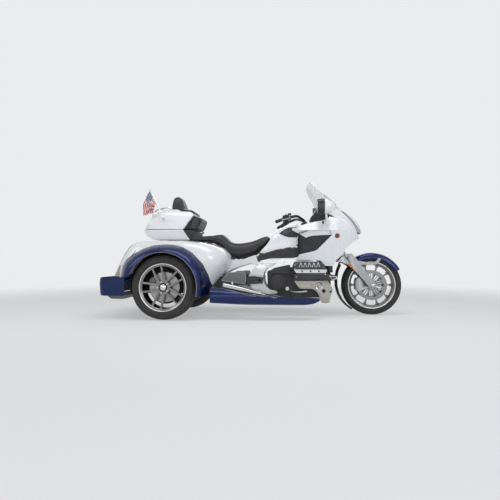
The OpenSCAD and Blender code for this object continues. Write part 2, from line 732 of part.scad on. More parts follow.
// Dark panel that closes the cockpit between the nose and the side of the fairing: X, and Z at its outer edge
inner_edge = [[-462, 1020], [-424, 1010], [-386, 1003], [-348, 990], [-310, 976], [-272, 960], [-234, 930],
    [-196, 874]];
function cowl_at(x, k) = lookup(x, [for (s = cowl_stations) [s[0], s[k]]]);
function inner_row(e, d) = let (a = [e[0], -cowl_at(e[0], 1) - 2 * seat_gap, cowl_at(e[0], 2) + 9])
    let (b = [e[0], -fairing_y(e[0], e[1]) + skin + 2 * seat_gap, e[1]])
    [for (j = [0:4]) let (t = j / 4) [xf, 0, 14 * sin(180 * t) - d] + mix(a, b, t)];

module inner_fairing() color(black) both_sides()
    thick_sheet([for (e = inner_edge) inner_row(e, 4)], [for (e = inner_edge) inner_row(e, 0)]);

module headlamps() color(chrome) intersection() {
    cowl_sheet(skin + 2 * seat_gap, 4);
    both_sides() front_plate(-220, -34) polygon(soft(inset(lamp_slit, -8), 8, 2));
}

// Windscreen rows: middle X and Z, side X and Z, half width
screen_rows = [
    [-655, 1457, -690, 1385, 150], [-566, 1369, -657, 1330, 215], [-455, 1269, -617, 1265, 245],
    [-377, 1198, -590, 1205, 250], [-322, 1148, -520, 1125, 235]
];
function screen_row(s, d) = [for (j = [0:14]) let (t = (j - 7) / 7)
    [xf + mix(s[0], s[2], t * t) - d * 0.7, s[4] * t, mix(s[1], s[3], t * t) - d * 0.7]];

module windscreen() color([0.6, 0.65, 0.7, 0.4]) {
    thick_sheet([for (s = screen_rows) screen_row(s, 0)], [for (s = screen_rows) screen_row(s, 5)]);
}

module dash() color(black) {
    sunk = skin + 2 * seat_gap;
    rim = [cowl_at(-460, 1) - sunk, cowl_at(-460, 2), cowl_at(-460, 3) - sunk];
    translate([xf, 0, 0]) three_view(
        soft([[-640, 1000], [-560, 940], [-470, 960], [-465, 1080], [-490, 1180], [-520, 1200],
            [-600, 1100], [-660, 1040]], 18),
        soft([[-665, -150], [-560, -166], [-460, -166], [-460, 166], [-560, 166], [-665, 150]], 24),
        soft([[-166, 930], [166, 930], [166, 1130], [130, 1210], [-130, 1210], [-166, 1130]], 30)
    );
    intersection() {
        translate([xf - 472, 0, 0]) rotate([90, 0, 90]) linear_extrude(12) difference() {
            polygon(arch_flat(rim[0], rim[1], rim[2], 0.75));
            polygon(arch_flat(rim[0] - 30, rim[1] - 1, rim[2] - 30, 0.75));
        }
        front_plate(-140, 140) square_between([-480, 1090], [-446, 1210]);
    }
    front_plate(-60, 60) square_between([-592, 830 + seat_gap], [-570, 970]);
}

module mirrors() color(white) both_sides() {
    shell = [[-600, 62, 1062, 1206], [-560, 76, 1052, 1212], [-500, 74, 1060, 1204], [-455, 58, 1078, 1184],
        [-425, 30, 1102, 1158]];
    translate([0, -395, 0]) loft([for (s = shell) oval(xf + s[0], s[1], s[2], s[3], 0.62, 24)]);
    tube(rounded([[xf - 515, -392, 1110], [xf - 500, -335, 1006], [xf - 500, -299, 986.6]], 20), 12);
    intersection() {
        fairing_sheet(-5 - seat_gap, 5, 8, 12, [940, 990, 1060]);
        front_plate(-400, -60) polygon(soft([[-545, 960], [-455, 960], [-455, 1010], [-500, 1016],
            [-545, 990]], 16));
    }
}

// Arched sheet over the fuel tank, sunk inwards by depth
tank_stations = [
    [-1215, 168, 600, 800], [-1150, 172, 600, 836], [-1082, 182, 600, 872], [-995, 192, 600, 929],
    [-910, 200, 600, 962], [-823, 204, 600, 986], [-780, 204, 600, 990]
];
module tank_sheet(depth, wall) thick_sheet(
    [for (s = tank_stations) arch(xf + s[0], s[1] - depth, s[2], s[3] - depth, 0.55, 18)],
    [for (s = tank_stations) arch(xf + s[0], s[1] - depth - wall, s[2], s[3] - depth - wall, 0.55, 18)]
);
tank_outline = [
    [-1195, 676], [-1142, 664], [-1016, 701], [-888, 723], [-823, 728], [-783, 770], [-783, 1010],
        [-823, 1010],
    [-995, 960], [-1098, 880], [-1070, 832], [-1118, 762]
];
tank_vent = [[-995, 872], [-940, 846], [-888, 830], [-800, 828], [-770, 880], [-790, 940], [-890, 938],
    [-940, 914]];

function tank_at(k, x) = lookup(x, [for (s = tank_stations) [s[0], s[k]]]);
function arch_flat(w, z0, z1, e) = [for (q = arch(0, w, z0, z1, e, 18)) [q[1], q[2]]];

module tank_cover() color(white) difference() {
    intersection() {
        tank_sheet(0, skin);
        front_plate(-260, 260) polygon(soft(tank_outline, 10, 2));
    }
    both_sides() front_plate(-260, -120) polygon(soft(tank_vent, 8, 2));
    raked(bar_pivot) cylinder(r = 95, h = 400, center = true);
}

module side_panels() color(dark) both_sides() {
    front_plate(-215, -190 - seat_gap) polygon(soft([
        [-1230, 578], [-1100, 608], [-850, 612], [-700, 640], [-700, 730], [-823, 722], [-888, 716],
        [-1016, 694], [-1142, 658], [-1196, 668]
    ], 10));
    intersection() {
        fairing_sheet(24, skin, 1, 13, vent_levels);
        front_plate(-400, -60) polygon(inset(vent_outline, -8));
    }
    intersection() {
        fairing_sheet(skin + seat_gap, 24, 1, 13, vent_levels);
        front_plate(-400, -60) difference() {
            polygon(inset(vent_outline, -8));
            polygon(inset(vent_outline, -2));
        }
    }
    intersection() {
        tank_sheet(skin + seat_gap, vent_t);
        front_plate(-260, -110) polygon(soft(inset(tank_vent, -8), 8, 2));
    }
}

module tail_covers() color(white) both_sides() front_plate(-242, -226 - seat_gap) polygon([
    [-1240, 644], [-1204, 552], [-1226, 530], [-1294, 554], [-1465, 500], [-1582, 441], [-1640, 385],
    [-1593, 473], [-1518, 591], [-1369, 596]
]);

module seat() color(black) {
    stations = [
        [-1883, 172, 792, 834], [-1862, 190, 786, 843], [-1720, 196, 786, 849], [-1640, 196, 748, 862],
        [-1605, 195, 716, 860], [-1570, 193, 668, 828], [-1530, 191, 622, 786], [-1475, 190, 603, 767],
        [-1420, 192, 603, 766], [-1377, 193, 603, 770], [-1300, 188, 622, 783], [-1240, 176, 655, 802],
        [-1190, 156, 700, 826], [-1150, 138, 738, 843], [-1112, 118, 784, 853], [-1090, 92, 818, 848]
    ];
    loft([for (s = stations) oval(xf + s[0], s[1], s[2], s[3], 0.55, 28)]);
}

// Touring trunk
trunk_seam = 913;

trunk_side = [
    [174, 802], [106, trunk_seam], [217, 1077], [174, 1109], [69, 1112], [26, 1141],
    [-58, 1135], [-143, 1109], [-206, 1088], [-312, 940], [-333, trunk_seam], [-291, 839], [-227, 808]
];
trunk_side_round = [14, 0, 18, 14, 14, 20, 30, 30, 40, 30, 12, 30, 40];
trunk_plan = [[-345, -215], [-230, -trunk_half], [250, -trunk_half], [250, trunk_half], [-230, trunk_half],
    [-345, 215]];
trunk_front = [
    [-235, 795], [235, 795], [trunk_half, 900], [trunk_half, 925], [262, 1050], [205, 1150],
    [-205, 1150], [-262, 1050], [-trunk_half, 925], [-trunk_half, 900]
];

// The trunk as a solid, moved inwards by d
module trunk_form(d) translate([xr, 0, 0]) three_view(
    soft(inset(trunk_side, d), trunk_side_round),
    soft(inset(trunk_plan, d), [60, 90, 10, 10, 90, 60]),
    soft(inset(trunk_front, d), [50, 50, 12, 12, 60, 70, 70, 60, 12, 12])
);

module trunk_box() color(white) {
    difference() {
        intersection() {
            trunk_form(0);
            tail_plate(-400, 400) square_between([-400, 700], [300, trunk_seam]);
        }
        trunk_form(trunk_wall);
        tail_plate(-150, 150) square_between([-400, trunk_seam - 34], [-250, trunk_seam + 1]);
    }
    both_sides() tail_plate(-150, -70) square_between([-90, 795 + seat_gap], [66, 806]);
}

module trunk_lid() color(white) {
    difference() {
        intersection() {
            trunk_form(0);
            tail_plate(-400, 400) square_between([-400, trunk_seam + lid_gap], [300, 1300]);
        }
        trunk_form(trunk_wall);
    }
    intersection() {
        trunk_form(trunk_wall - 1);
        tail_plate(-138, 138) polygon([[-331, 893], [-326, 893], [-313, 960], [-331, 960]]);
    }
}

module trunk_panel() color(black) {
    translate([xr, 0, 0]) three_view(
        soft([[106.4, 913], [174.4, 802], [216, 802], [226, 860], [232, 900], [221, 906]],
            [0, 4, 16, 20, 8, 8]),
        soft([[90, -262], [222, -250], [236, -150], [236, 150], [222, 250], [90, 262]],
            [2, 20, 60, 60, 20, 2]),
        soft([[-235, 802], [235, 802], [262, 895], [262, 915], [-262, 915], [-262, 895]],
            [16, 16, 10, 4, 4, 10])
    );
    both_sides() {
        translate([xr, 0, 0]) three_view(
            soft([[214, 806], [424, 804], [432, 820], [420, 838], [300, 842], [214, 852]],
                [2, 8, 10, 12, 30, 2]),
            soft([[212, -258], [400, -262], [436, -250], [436, -215], [400, -203], [212, -203]],
                [2, 20, 16, 16, 20, 2]),
            soft([[-262, 800], [-202, 800], [-202, 850], [-262, 850]], [8, 8, 14, 18])
        );
        difference() {
            union() {
                cross_bar(lid_hinge[0], lid_hinge[1], -180, -150, 9);
                tail_plate(-180, -150) polygon([[215, 880], [226, 896], [246, 897], [246, 906], [238, 910],
                    [226, 904]]);
            }
            cross_bar(lid_hinge[0], lid_hinge[1], -190, -140, lid_pin_r + fit);
        }
    }
}

module backrest() color(black) {
    seam = trunk_seam + lid_gap;
    translate([xr, 0, 0]) three_view(
        soft([[110.5, seam], [236, seam + 4], [262, 968], [300, 1030], [282, 1048], [240, 1060],
            [217.5, 1077]],
            [1, 16, 40, 20, 20, 30, 1]),
        soft([[90, -250], [230, -238], [306, -180], [306, 180], [230, 238], [90, 250]],
            [2, 40, 70, 70, 40, 2]),
        soft([[-262, seam], [262, seam], [246, 1040], [205, 1090], [-205, 1090], [-246, 1040]],
            [4, 4, 40, 40, 40, 40])
    );
    both_sides() {
        cross_bar(lid_hinge[0], lid_hinge[1], -149, -120, 9);
        cross_bar(lid_hinge[0], lid_hinge[1], -186, -120, lid_pin_r);
        tail_plate(-149, -120) polygon([[246, 915], [238, 925], [225, 925], [240, 905]]);
    }
}

module headrest() color(black) {
    translate([xr, 0, 0]) three_view(
        soft([[-58, 1135.4], [-46, 1250], [-26, 1290], [26, 1298], [44, 1262], [66, 1190], [80, 1140],
            [174, 1128],
            [214, 1096], [217.4, 1077.4], [174.3, 1109.4], [69.2, 1112.4], [26.2, 1141.4]],
            [10, 40, 24, 24, 30, 30, 20, 20, 0, 0, 14, 14, 20]),
        soft([[-80, -125], [60, -125], [80, -150], [235, -150], [235, 150], [80, 150], [60, 125],
            [-80, 125]], 30),
        soft([[-150, 1070], [150, 1070], [150, 1125], [125, 1150], [118, 1240], [85, 1300],
            [-85, 1300], [-118, 1240], [-125, 1150], [-150, 1125]], [4, 4, 14, 14, 50, 50, 50, 50, 14, 14])
    );
}

flag_y = -trunk_half - 12;

module flag_staff() color(chrome) {
    bar([xr - 100, flag_y, 1030], [xr - 245, flag_y, 1336], 5);
    difference() {
        cross_bar(xr - 100, 1030, flag_y - 8, -trunk_half + 40, 14);
        trunk_form(-seat_gap);
    }
}

module flag() color([0.7, 0.1, 0.12]) tail_plate(flag_y - 2, flag_y + 2) polygon([
    [-248, 1330], [-188.3, 1204], [-212, 1090], [-323, 1056], [-262, 1225]
]);

// Conversion body: height, rear X, front X and half width, with X counted from the rear axle
body_levels = [
    [330, -596, 470, 600], [421, -590, 545, 600], [530, -540, 615, 598], [590, -511, 640, 594],
    [650, -480, 615, 588], [711, -440, 555, 578], [745, -408, 480, 565], [768, -372, 405, 535],
    [782, -318, 320, 480], [791, -240, 220, 380], [795, -100, 80, 200]
];
body_mid = 100;
function level(z, k) = lookup(z, [for (s = body_levels) [s[0], s[k]]]);

// Outline of the body at one height, inset by d, as a closed ring that runs anticlockwise from the front
function body_ring(s, d) = [for (i = [0:47]) let (t = 7.5 * i, c = cos(t), v = sin(t))
    [xr + body_mid + (c > 0 ? (s[2] - d - body_mid) * pow(c, 0.75) : (s[1] + d - body_mid) * pow(-c, 0.3)),
     (s[3] - d) * sign(v) * pow(abs(v), c > 0 ? 0.6 : 0.3), s[0] - (s[0] > 700 ? d : 0)]];

// Half width of the body's side at x and z, with X counted from the rear axle
function body_side(x, z) = let (front = x > body_mid)
    let (reach = front ? level(z, 2) - body_mid : level(z, 1) - body_mid)
    let (c = pow(min(1, (x - body_mid) / reach), 1 / (front ? 0.75 : 0.3)))
    level(z, 3) * pow(sqrt(1 - c * c), front ? 0.6 : 0.3);

// A stack of closed rings that follow each other upwards
module stack(rings) {
    m = len(rings);
    n = len(rings[0]);
    polyhedron(
        points = [for (r = rings) each r],
        faces = concat(
            [for (i = [0:m - 2], j = [0:n - 1]) let (a = i * n + j, b = i * n + (j + 1) % n)
                each [[a, a + n, b + n], [a, b + n, b]]],
            [[for (j = [0:n - 1]) j]],
            [[for (j = [0:n - 1]) m * n - 1 - j]]
        )
    );
}

module body_shell() difference() {
    stack([for (s = body_levels) body_ring(s, 0)]);
    stack(concat([body_ring([300, -596, 470, 600], skin)], [for (s = body_levels) body_ring(s, skin)]));
}

// Edge between the white body and the flare, with X and Z counted from the rear axle
flare_crease = [
    [-454, 103], [-448, 165], [-431, 221], [-402, 270], [-313, 338], [-215, 387], [-117, 417], [-19, 425],
    [79, 422], [177, 397], [275, 338], [373, 231], [422, 123], [440, 10], [446, -83]
];
lip_r = rear_tyre_r + arch_gap;
seat_cut = 212;

module rear_body() color(white) {
    difference() {
        body_cut();
        cross_bar(hatch_hinge[0], hatch_hinge[1], -280, 280, hatch_knuckle_r + 1.5);
    }
    both_sides() {
        cross_bar(hatch_hinge[0], hatch_hinge[1], -230, -200, hatch_knuckle_r);
        cross_bar(hatch_hinge[0], hatch_hinge[1], -262, -200, hatch_pin_r);
        tail_plate(-230, -200) polygon([[-350, 770], [-338, 772], [-330, 770], [-330, 778], [-350, 778]]);
    }
}

module body_cut() difference() {
    body_shell();
    both_sides() translate([0, 0, zr]) tail_plate(-800, -300)
        polygon(concat(flare_crease, [[446, -300], [-454, -300]]));
    tail_plate(-seat_cut, seat_cut) polygon([[214, 200], [800, 200], [800, 900], [214, 900]]);
    tail_plate(-arm_y - 40, arm_y + 40) polygon([[300, 200], [800, 200], [800, 450], [300, 450]]);
    tail_plate(-250, 250) polygon([[300, 200], [800, 200], [800, 620], [300, 620]]);
    tail_plate(-800, 800) polygon(hatch_outline(0));
    tail_plate(-800, 800) polygon([[-470, 200], [-470, lamp_top], [-900, lamp_top], [-900, 200]]);
}

// Region of the rear hatch in side view, moved back by g
lamp_top = 530;
function hatch_outline(g) = [
    [-345 - g, 900], [-345 - g, 776], [-469 - g, 600], [-512 - g, lamp_top + g / 2],
        [-900, lamp_top + g / 2], [-900, 900]
];
hatch_low_half = 440;

module rear_hatch() color(white) {
    both_sides() difference() {
        union() {
            cross_bar(hatch_hinge[0], hatch_hinge[1], -262, -232, hatch_knuckle_r);
            tail_plate(-262, -232) polygon([[-350, 770], [-362, 766], [-370, 762], [-370, 768],
                [-350, 779]]);
        }
        cross_bar(hatch_hinge[0], hatch_hinge[1], -270, -190, hatch_pin_r + fit);
    }
    difference() {
        hatch_skin();
        cross_bar(hatch_hinge[0], hatch_hinge[1], -280, 280, hatch_knuckle_r + 1.5);
    }
}

module hatch_skin() {
    intersection() {
        body_shell();
        union() {
            tail_plate(-800, 800) polygon(hatch_outline(hatch_gap));
            tail_plate(-hatch_low_half, hatch_low_half) polygon([
                [-530, 640], [-900, 640], [-900, 426], [-530, 426]
            ]);
        }
    }
}

function flare_ring(p, d) = let (r = norm(p), a = atan2(p[1], p[0]))
    let (lip = p[1] == flare_crease[0][1] || p[1] == -83
        ? [sign(p[0]) * sqrt(lip_r * lip_r - p[1] * p[1]), p[1]] : p * lip_r / r)
    let (edge = body_side(p[0], zr + p[1]))
    [for (j = [0:7]) let (t = j / 7, q = mix(lip, p, t))
        [xr + q[0], -mix(edge + seat_gap, flare_half, 1 - pow(t, 2.2)) + d, zr + q[1]]];

module rear_flares() color(blue) both_sides() {
    thick_sheet([for (p = flare_crease) flare_ring(p, 0)], [for (p = flare_crease) flare_ring(p, skin)]);
}

// Wheel housings, with the floor and the front wall of the luggage space between them
tub_y = track / 2 - 130;
floor_z = zr + 118;

module inner_tub() color(black) {
    both_sides() difference() {
        cross_bar(xr, zr, -track / 2, -tub_y, lip_r + 16);
        cross_bar(xr, zr, -track / 2 - 10, -tub_y - 4, lip_r + 12);
        cross_bar(xr, zr, -tub_y - 10, -tub_y + 20, 90);
        translate([xr - 400, -700, -100]) cube([800, 300, zr + 30]);
    }
}

// Floor and front wall of the luggage space, between the wheel housings
module luggage_floor() color(black) {
    side_plate(-tub_y + seat_gap, tub_y - seat_gap) square_between([xr - 470, floor_z],
        [xr + 205, floor_z + skin]);
    side_plate(-tub_y + seat_gap, tub_y - seat_gap) square_between([xr + 200, floor_z],
        [xr + 205, body_levels[6][0] + 4]);
    intersection() {
        side_plate(-tub_y + seat_gap, tub_y - seat_gap) square_between([xr + 200, floor_z],
            [xr + 205, 900]);
        stack([for (i = [6:10]) body_ring(body_levels[i], skin + seat_gap)]);
    }
}

bumper_levels = [[238, -632], [252, -644], [350, -652], [400, -648], [419, -638]];
bumper_half = flare_half - 35;
bumper_front = -379;
bumper_round = 70;
function bumper_row(s, d) = let (k = bumper_round, cx = xr + s[1] + k, cy = bumper_half - k)
    concat(
        [[xr + bumper_front, -bumper_half + d, s[0]]],
        [for (a = [270:-15:180]) [cx + (k - d) * cos(a), -cy + (k - d) * sin(a), s[0]]],
        [for (a = [180:-15:90]) [cx + (k - d) * cos(a), cy + (k - d) * sin(a), s[0]]],
        [[xr + bumper_front, bumper_half - d, s[0]]]
    );

module rear_bumper() color(blue) {
    thick_sheet([for (s = bumper_levels) bumper_row(s, 0)], [for (s = bumper_levels) bumper_row(s, skin)]);
    both_sides() tail_plate(-330, -290) polygon([
        [-649, 345], [-549, 345], [-420, 405], [-420, floor_z - seat_gap],
        [-480, floor_z - seat_gap], [-560, 398], [-649, 392]
    ]);
}

module tail_lamps() color([0.8, 0.1, 0.1]) intersection() {
    stack([for (i = [0:2]) body_ring(body_levels[i], 0)]);
    both_sides() tail_plate(-700, -hatch_low_half - clear) polygon([
        [-700, 422], [-700, lamp_top - clear], [-470 - seat_gap, lamp_top - clear], [-470 - seat_gap, 422]
    ]);
}

module board_form(d) three_view(
    soft(inset([
        [xr + 452, 168], [xf - 1265, 146], [xf - 766, 148], [xf - 640, 160], [xf - 578, 190],
            [xf - 600, 208],
        [xf - 766, 214], [xf - 966, 214], [xf - 1265, 236], [xf - 1480, 286], [xr + 520, 312],
            [xr + 452, 322]
    ], d), [4, 60, 60, 40, 20, 12, 60, 60, 80, 80, 20, 2]),
    soft(inset([
        [xr + 440, -620], [xf - 1100, -618], [xf - 720, -590], [xf - 570, -500], [xf - 570, -432],
            [xr + 440, -432]
    ], d), [2, 100, 120, 60, 20, 2]),
    soft(inset([[-620, 240], [-612, 168], [-560, 140], [-432, 140], [-432, 330], [-520, 322], [-590, 290]],
        d),
        [30, 40, 40, 2, 2, 60, 60])
);

module running_boards() color(blue) both_sides() difference() {
    board_form(0);
    intersection() {
        board_form(4);
        translate([-900, -640, 0]) cube([1800, 180, 400]);
    }
    translate([xr + 470, -560, 120]) cube([xf - 820 - xr - 470, 100, 50]);
}

frame();
engine();
cylinder_heads();
lower_cowl();
exhausts();
radiators();
wishbones();
fairing_sides();
upper_cowl();
inner_fairing();
headlamps();
windscreen();
dash();
mirrors();
tank_cover();
side_panels();
tail_covers();
seat();
footpegs();
trunk_box();
trunk_panel();
rear_body();
rear_flares();
inner_tub();
luggage_floor();
rear_bumper();
tail_lamps();
running_boards();
rear_axle();
trunk_lid();
backrest();
headrest();
flag_staff();
flag();
rear_hatch();
fork();
fork_covers();
front_fender();
mud_guard();
calipers();
handlebar();
grips();
front_rim();
front_tyre();
front_discs();
rear_rim();  // rear_rim_right
rear_tyre();  // rear_tyre_right
mirror([0, 1, 0]) rear_rim();  // rear_rim_left
mirror([0, 1, 0]) rear_tyre();  // rear_tyre_left
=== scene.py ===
"""Looks of a touring trike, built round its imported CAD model."""

import json
import logging
import math
from dataclasses import dataclass, field
from enum import Enum

import bmesh
import bpy
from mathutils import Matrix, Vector
from mathutils.bvhtree import BVHTree


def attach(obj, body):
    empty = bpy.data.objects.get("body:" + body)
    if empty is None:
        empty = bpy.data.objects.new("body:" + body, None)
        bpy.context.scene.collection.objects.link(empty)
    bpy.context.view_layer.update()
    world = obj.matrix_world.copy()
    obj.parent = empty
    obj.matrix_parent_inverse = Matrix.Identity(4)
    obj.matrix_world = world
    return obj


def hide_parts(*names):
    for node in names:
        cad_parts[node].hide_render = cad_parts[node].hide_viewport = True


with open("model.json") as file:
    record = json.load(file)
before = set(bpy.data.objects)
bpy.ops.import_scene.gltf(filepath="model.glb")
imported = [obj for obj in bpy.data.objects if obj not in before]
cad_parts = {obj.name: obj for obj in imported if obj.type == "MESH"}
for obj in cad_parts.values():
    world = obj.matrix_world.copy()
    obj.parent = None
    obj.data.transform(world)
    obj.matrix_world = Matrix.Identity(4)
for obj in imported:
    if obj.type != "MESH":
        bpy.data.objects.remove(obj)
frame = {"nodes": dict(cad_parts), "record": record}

log = logging.getLogger("trike")
Value = "Sock | float | tuple"
MM = 0.001
FRONT_X, REAR_X, AXLE_Z = 1.224, -0.892, 0.32


def front(x: float, y: float, z: float) -> Vector:
    """A point in millimetres, with X counted from the front axle and Z from the floor."""
    return Vector((FRONT_X + x * MM, y * MM, z * MM))


def rear(x: float, y: float, z: float) -> Vector:
    """A point in millimetres, with X counted from the rear axle and Z from the floor."""
    return Vector((REAR_X + x * MM, y * MM, z * MM))


class Sock:
    """A shader socket that takes part in Python expressions."""

    def __init__(self, tree: bpy.types.NodeTree, socket: bpy.types.NodeSocket) -> None:
        """Keeps the socket and the tree that it belongs to."""
        self.tree = tree
        self.socket = socket

    def math(self, operation: str, *others: Value, first: bool = True) -> "Sock":
        """Adds a Math node.

        Args:
            operation: The Math node's operation.
            others: The further operands.
            first: Whether this socket is the first operand.

        Returns:
            The node's result.
        """
        node = self.tree.nodes.new("ShaderNodeMath")
        node.operation = operation
        operands = [self, *others] if first else [*others, self]
        for slot, operand in zip(node.inputs, operands):
            connect(self.tree, slot, operand)
        return Sock(self.tree, node.outputs[0])

    def __add__(self, other: Value) -> "Sock":
        """Adds."""
        return self.math("ADD", other)

    def __sub__(self, other: Value) -> "Sock":
        """Subtracts."""
        return self.math("SUBTRACT", other)

    def __rsub__(self, other: Value) -> "Sock":
        """Subtracts this socket from a number."""
        return self.math("SUBTRACT", other, first=False)

    def __mul__(self, other: Value) -> "Sock":
        """Multiplies."""
        return self.math("MULTIPLY", other)

    def __truediv__(self, other: Value) -> "Sock":
        """Divides."""
        return self.math("DIVIDE", other)

    __radd__ = __add__
    __rmul__ = __mul__

    def ramp(self, low: float, high: float) -> "Sock":
        """Rises smoothly from 0 at low to 1 at high."""
        node = self.tree.nodes.new("ShaderNodeMapRange")
        node.interpolation_type = "SMOOTHSTEP"
        connect(self.tree, node.inputs[0], self)
        node.inputs[1].default_value, node.inputs[2].default_value = low, high
        return Sock(self.tree, node.outputs[0])


def connect(tree: bpy.types.NodeTree, slot: bpy.types.NodeSocket, value: Value) -> None:
    """Sets a socket to a number, a colour or the result of another node.

    Args:
        tree: The node tree.
        slot: The input socket.
        value: A number, a tuple, a data block or a Sock.
    """
    if isinstance(value, Sock):
        tree.links.new(value.socket, slot)
    elif isinstance(value, tuple) and slot.type == "RGBA":
        slot.default_value = (*value, 1.0)[:4]
    else:
        slot.default_value = value


@dataclass
class Graph:
    """Adds the nodes of one tree."""

    tree: bpy.types.NodeTree

    def add(self, kind: str, settings: dict | None = None, inputs: dict | None = None, out: str | int = 0) -> Sock:
        """Adds one node.

        Args:
            kind: The node's type.
            settings: Its own properties, set first; "stops" holds the places and colours of a ramp.
            inputs: Values or links by the name or the number of the socket.
            out: The output that is wanted.

        Returns:
            That output.
        """
        node = self.tree.nodes.new(kind)
        for name, value in (settings or {}).items():
            if name == "stops":
                ramp = node.color_ramp
                while len(ramp.elements) < len(value):
                    ramp.elements.new(1.0)
                for stop, (place, color) in zip(ramp.elements, value):
                    stop.position, stop.color = place, (*color, 1.0)[:4]
            else:
                setattr(node, name, value)
        for name, value in (inputs or {}).items():
            connect(self.tree, node.inputs[name], value)
        return Sock(self.tree, node.outputs[out])

    def place(self) -> Sock:
        """The point on the piece, in metres."""
        return self.add("ShaderNodeTexCoord", out="Object")

    def axis(self, name: str) -> Sock:
        """One coordinate of the point: X, Y or Z."""
        return self.add("ShaderNodeSeparateXYZ", inputs={0: self.place()}, out=name)

    def noise(self, scale: float, detail: float = 2.0, where: Sock | None = None) -> Sock:
        """Smooth noise of so many waves a metre."""
        return self.add("ShaderNodeTexNoise", inputs={
            "Vector": where or self.place(), "Scale": scale, "Detail": detail}, out="Fac")

    def cells(self, scale: float, feature: str = "F1", out: str = "Distance") -> Sock:
        """Cells of so many a metre."""
        return self.add("ShaderNodeTexVoronoi", {"feature": feature}, {"Vector": self.place(), "Scale": scale}, out)

    def blend(self, share: Value, a: Value, b: Value) -> Sock:
        """Mixes two colours, a at 0 and b at 1."""
        return self.add("ShaderNodeMix", {"data_type": "RGBA"}, {0: share, 6: a, 7: b}, out=2)

    def bump(self, height: Sock, depth: float, strength: float = 1.0) -> Sock:
        """Turns a height of 0 to 1 into a normal, with a depth in metres."""
        return self.add("ShaderNodeBump", inputs={"Strength": strength, "Distance": depth, "Height": height})


Links = dict[str, Sock]


@dataclass(frozen=True)
class Finish:
    """A surface: its colour, its roughness and what both do over the piece."""

    name: str
    color: tuple[float, float, float]
    rough: float = 0.4
    metallic: float = 0.0
    coat: float = 0.0

    def links(self, graph: Graph) -> Links:
        """What changes over the surface, by the shader's socket."""
        tone = graph.noise(3.0, 3.0)
        return {"Base Color": graph.blend(tone, shade(self.color, 0.94), shade(self.color, 1.05))}

    def plain(self) -> dict[str, Value]:
        """What is the same all over the surface, by the shader's socket."""
        return {"Coat Weight": self.coat, "Coat Roughness": 0.03, "Metallic": self.metallic, "Roughness": self.rough}

    def material(self) -> bpy.types.Material:
        """Builds the material once and returns it."""
        found = bpy.data.materials.get(self.name + "_finish")
        if found:
            return found
        made = bpy.data.materials.new(self.name + "_finish")
        made.use_nodes = True
        graph = Graph(made.node_tree)
        shader = made.node_tree.nodes["Principled BSDF"]
        for name, value in {**self.plain(), **self.links(graph)}.items():
            connect(made.node_tree, shader.inputs[name], value)
        return made


def shade(color: tuple[float, float, float], by: float) -> tuple[float, float, float]:
    """A colour made lighter or darker."""
    return tuple(min(1.0, c * by) for c in color)


@dataclass(frozen=True)
class Paint(Finish):
    """Clear-coated paint, with the soft ripple of sprayed panels and road dust low down."""

    rough: float = 0.28
    coat: float = 1.0

    def links(self, graph: Graph) -> Links:
        """Colour with a little dust below knee height, and the ripple."""
        dust = (1.0 - graph.axis("Z").ramp(0.12, 0.5)) * graph.noise(22.0, 5.0).ramp(0.45, 0.8) * 0.35
        tone = graph.blend(graph.noise(2.5), shade(self.color, 0.97), shade(self.color, 1.02))
        ripple = graph.noise(160.0, 1.0)
        return {
            "Base Color": graph.blend(dust, tone, (0.42, 0.40, 0.37)),
            "Roughness": dust * 0.5 + (graph.noise(40.0) * 0.06 + self.rough - 0.03),
            "Normal": graph.bump(ripple, 0.00005, 0.5),
        }


@dataclass(frozen=True)
class FlakePaint(Paint):
    """Metallic paint: fine flakes in a deep colour under clear coat."""

    metallic: float = 0.65
    flake: tuple[float, float, float] = (0.02, 0.16, 0.62)

    def links(self, graph: Graph) -> Links:
        """Flakes that differ in brightness, on top of the paint's own links."""
        base = super().links(graph)
        flakes = graph.cells(2600.0, out="Color")
        bright = graph.add("ShaderNodeSeparateColor", inputs={0: flakes}, out="Red").ramp(0.35, 1.0)
        tone = graph.blend(bright, self.color, self.flake)
        return {**base, "Base Color": tone, "Metallic": bright * 0.35 + (self.metallic - 0.15)}


@dataclass(frozen=True)
class Moulded(Finish):
    """Grained black plastic, greyer where hands and boots rub it."""

    rough: float = 0.55
    grain: float = 900.0

    def links(self, graph: Graph) -> Links:
        """Grain, and rubbed patches."""
        rub = graph.noise(14.0, 4.0).ramp(0.5, 0.75)
        return {
            "Base Color": graph.blend(rub * 0.5, self.color, shade(self.color, 1.8)),
            "Roughness": rub * -0.12 + (graph.noise(60.0) * 0.1 + self.rough - 0.05),
            "Normal": graph.bump(graph.cells(self.grain), 0.00012, 0.6),
        }


@dataclass(frozen=True)
class Metal(Finish):
    """Cast, machined or plated metal."""

    metallic: float = 1.0
    cast: float = 0.5

    def links(self, graph: Graph) -> Links:
        """Smudges, and the skin of the casting."""
        smudge = graph.noise(28.0, 4.0)
        skin = graph.noise(420.0, 3.0)
        return {
            "Base Color": graph.blend(smudge, shade(self.color, 0.86), shade(self.color, 1.06)),
            "Roughness": smudge * 0.14 + (self.rough - 0.05),
            "Normal": graph.bump(skin, 0.00025, self.cast),
        }


@dataclass(frozen=True)
class Turned(Metal):
    """Metal with the fine rings that a lathe or a brake pad leaves round an axle."""

    hub: tuple[float, float] = (0.0, 0.0)

    def links(self, graph: Graph) -> Links:
        """Rings round the axle."""
        x, z = graph.axis("X") - self.hub[0], graph.axis("Z") - self.hub[1]
        reach = (x * x + z * z).math("SQRT")
        rings = graph.noise(1.0, 3.0, graph.add("ShaderNodeCombineXYZ", inputs={0: reach * 900.0}))
        base = super().links(graph)
        return {**base, "Roughness": rings * 0.22 + (self.rough - 0.1), "Normal": graph.bump(rings, 0.00008, 0.7)}


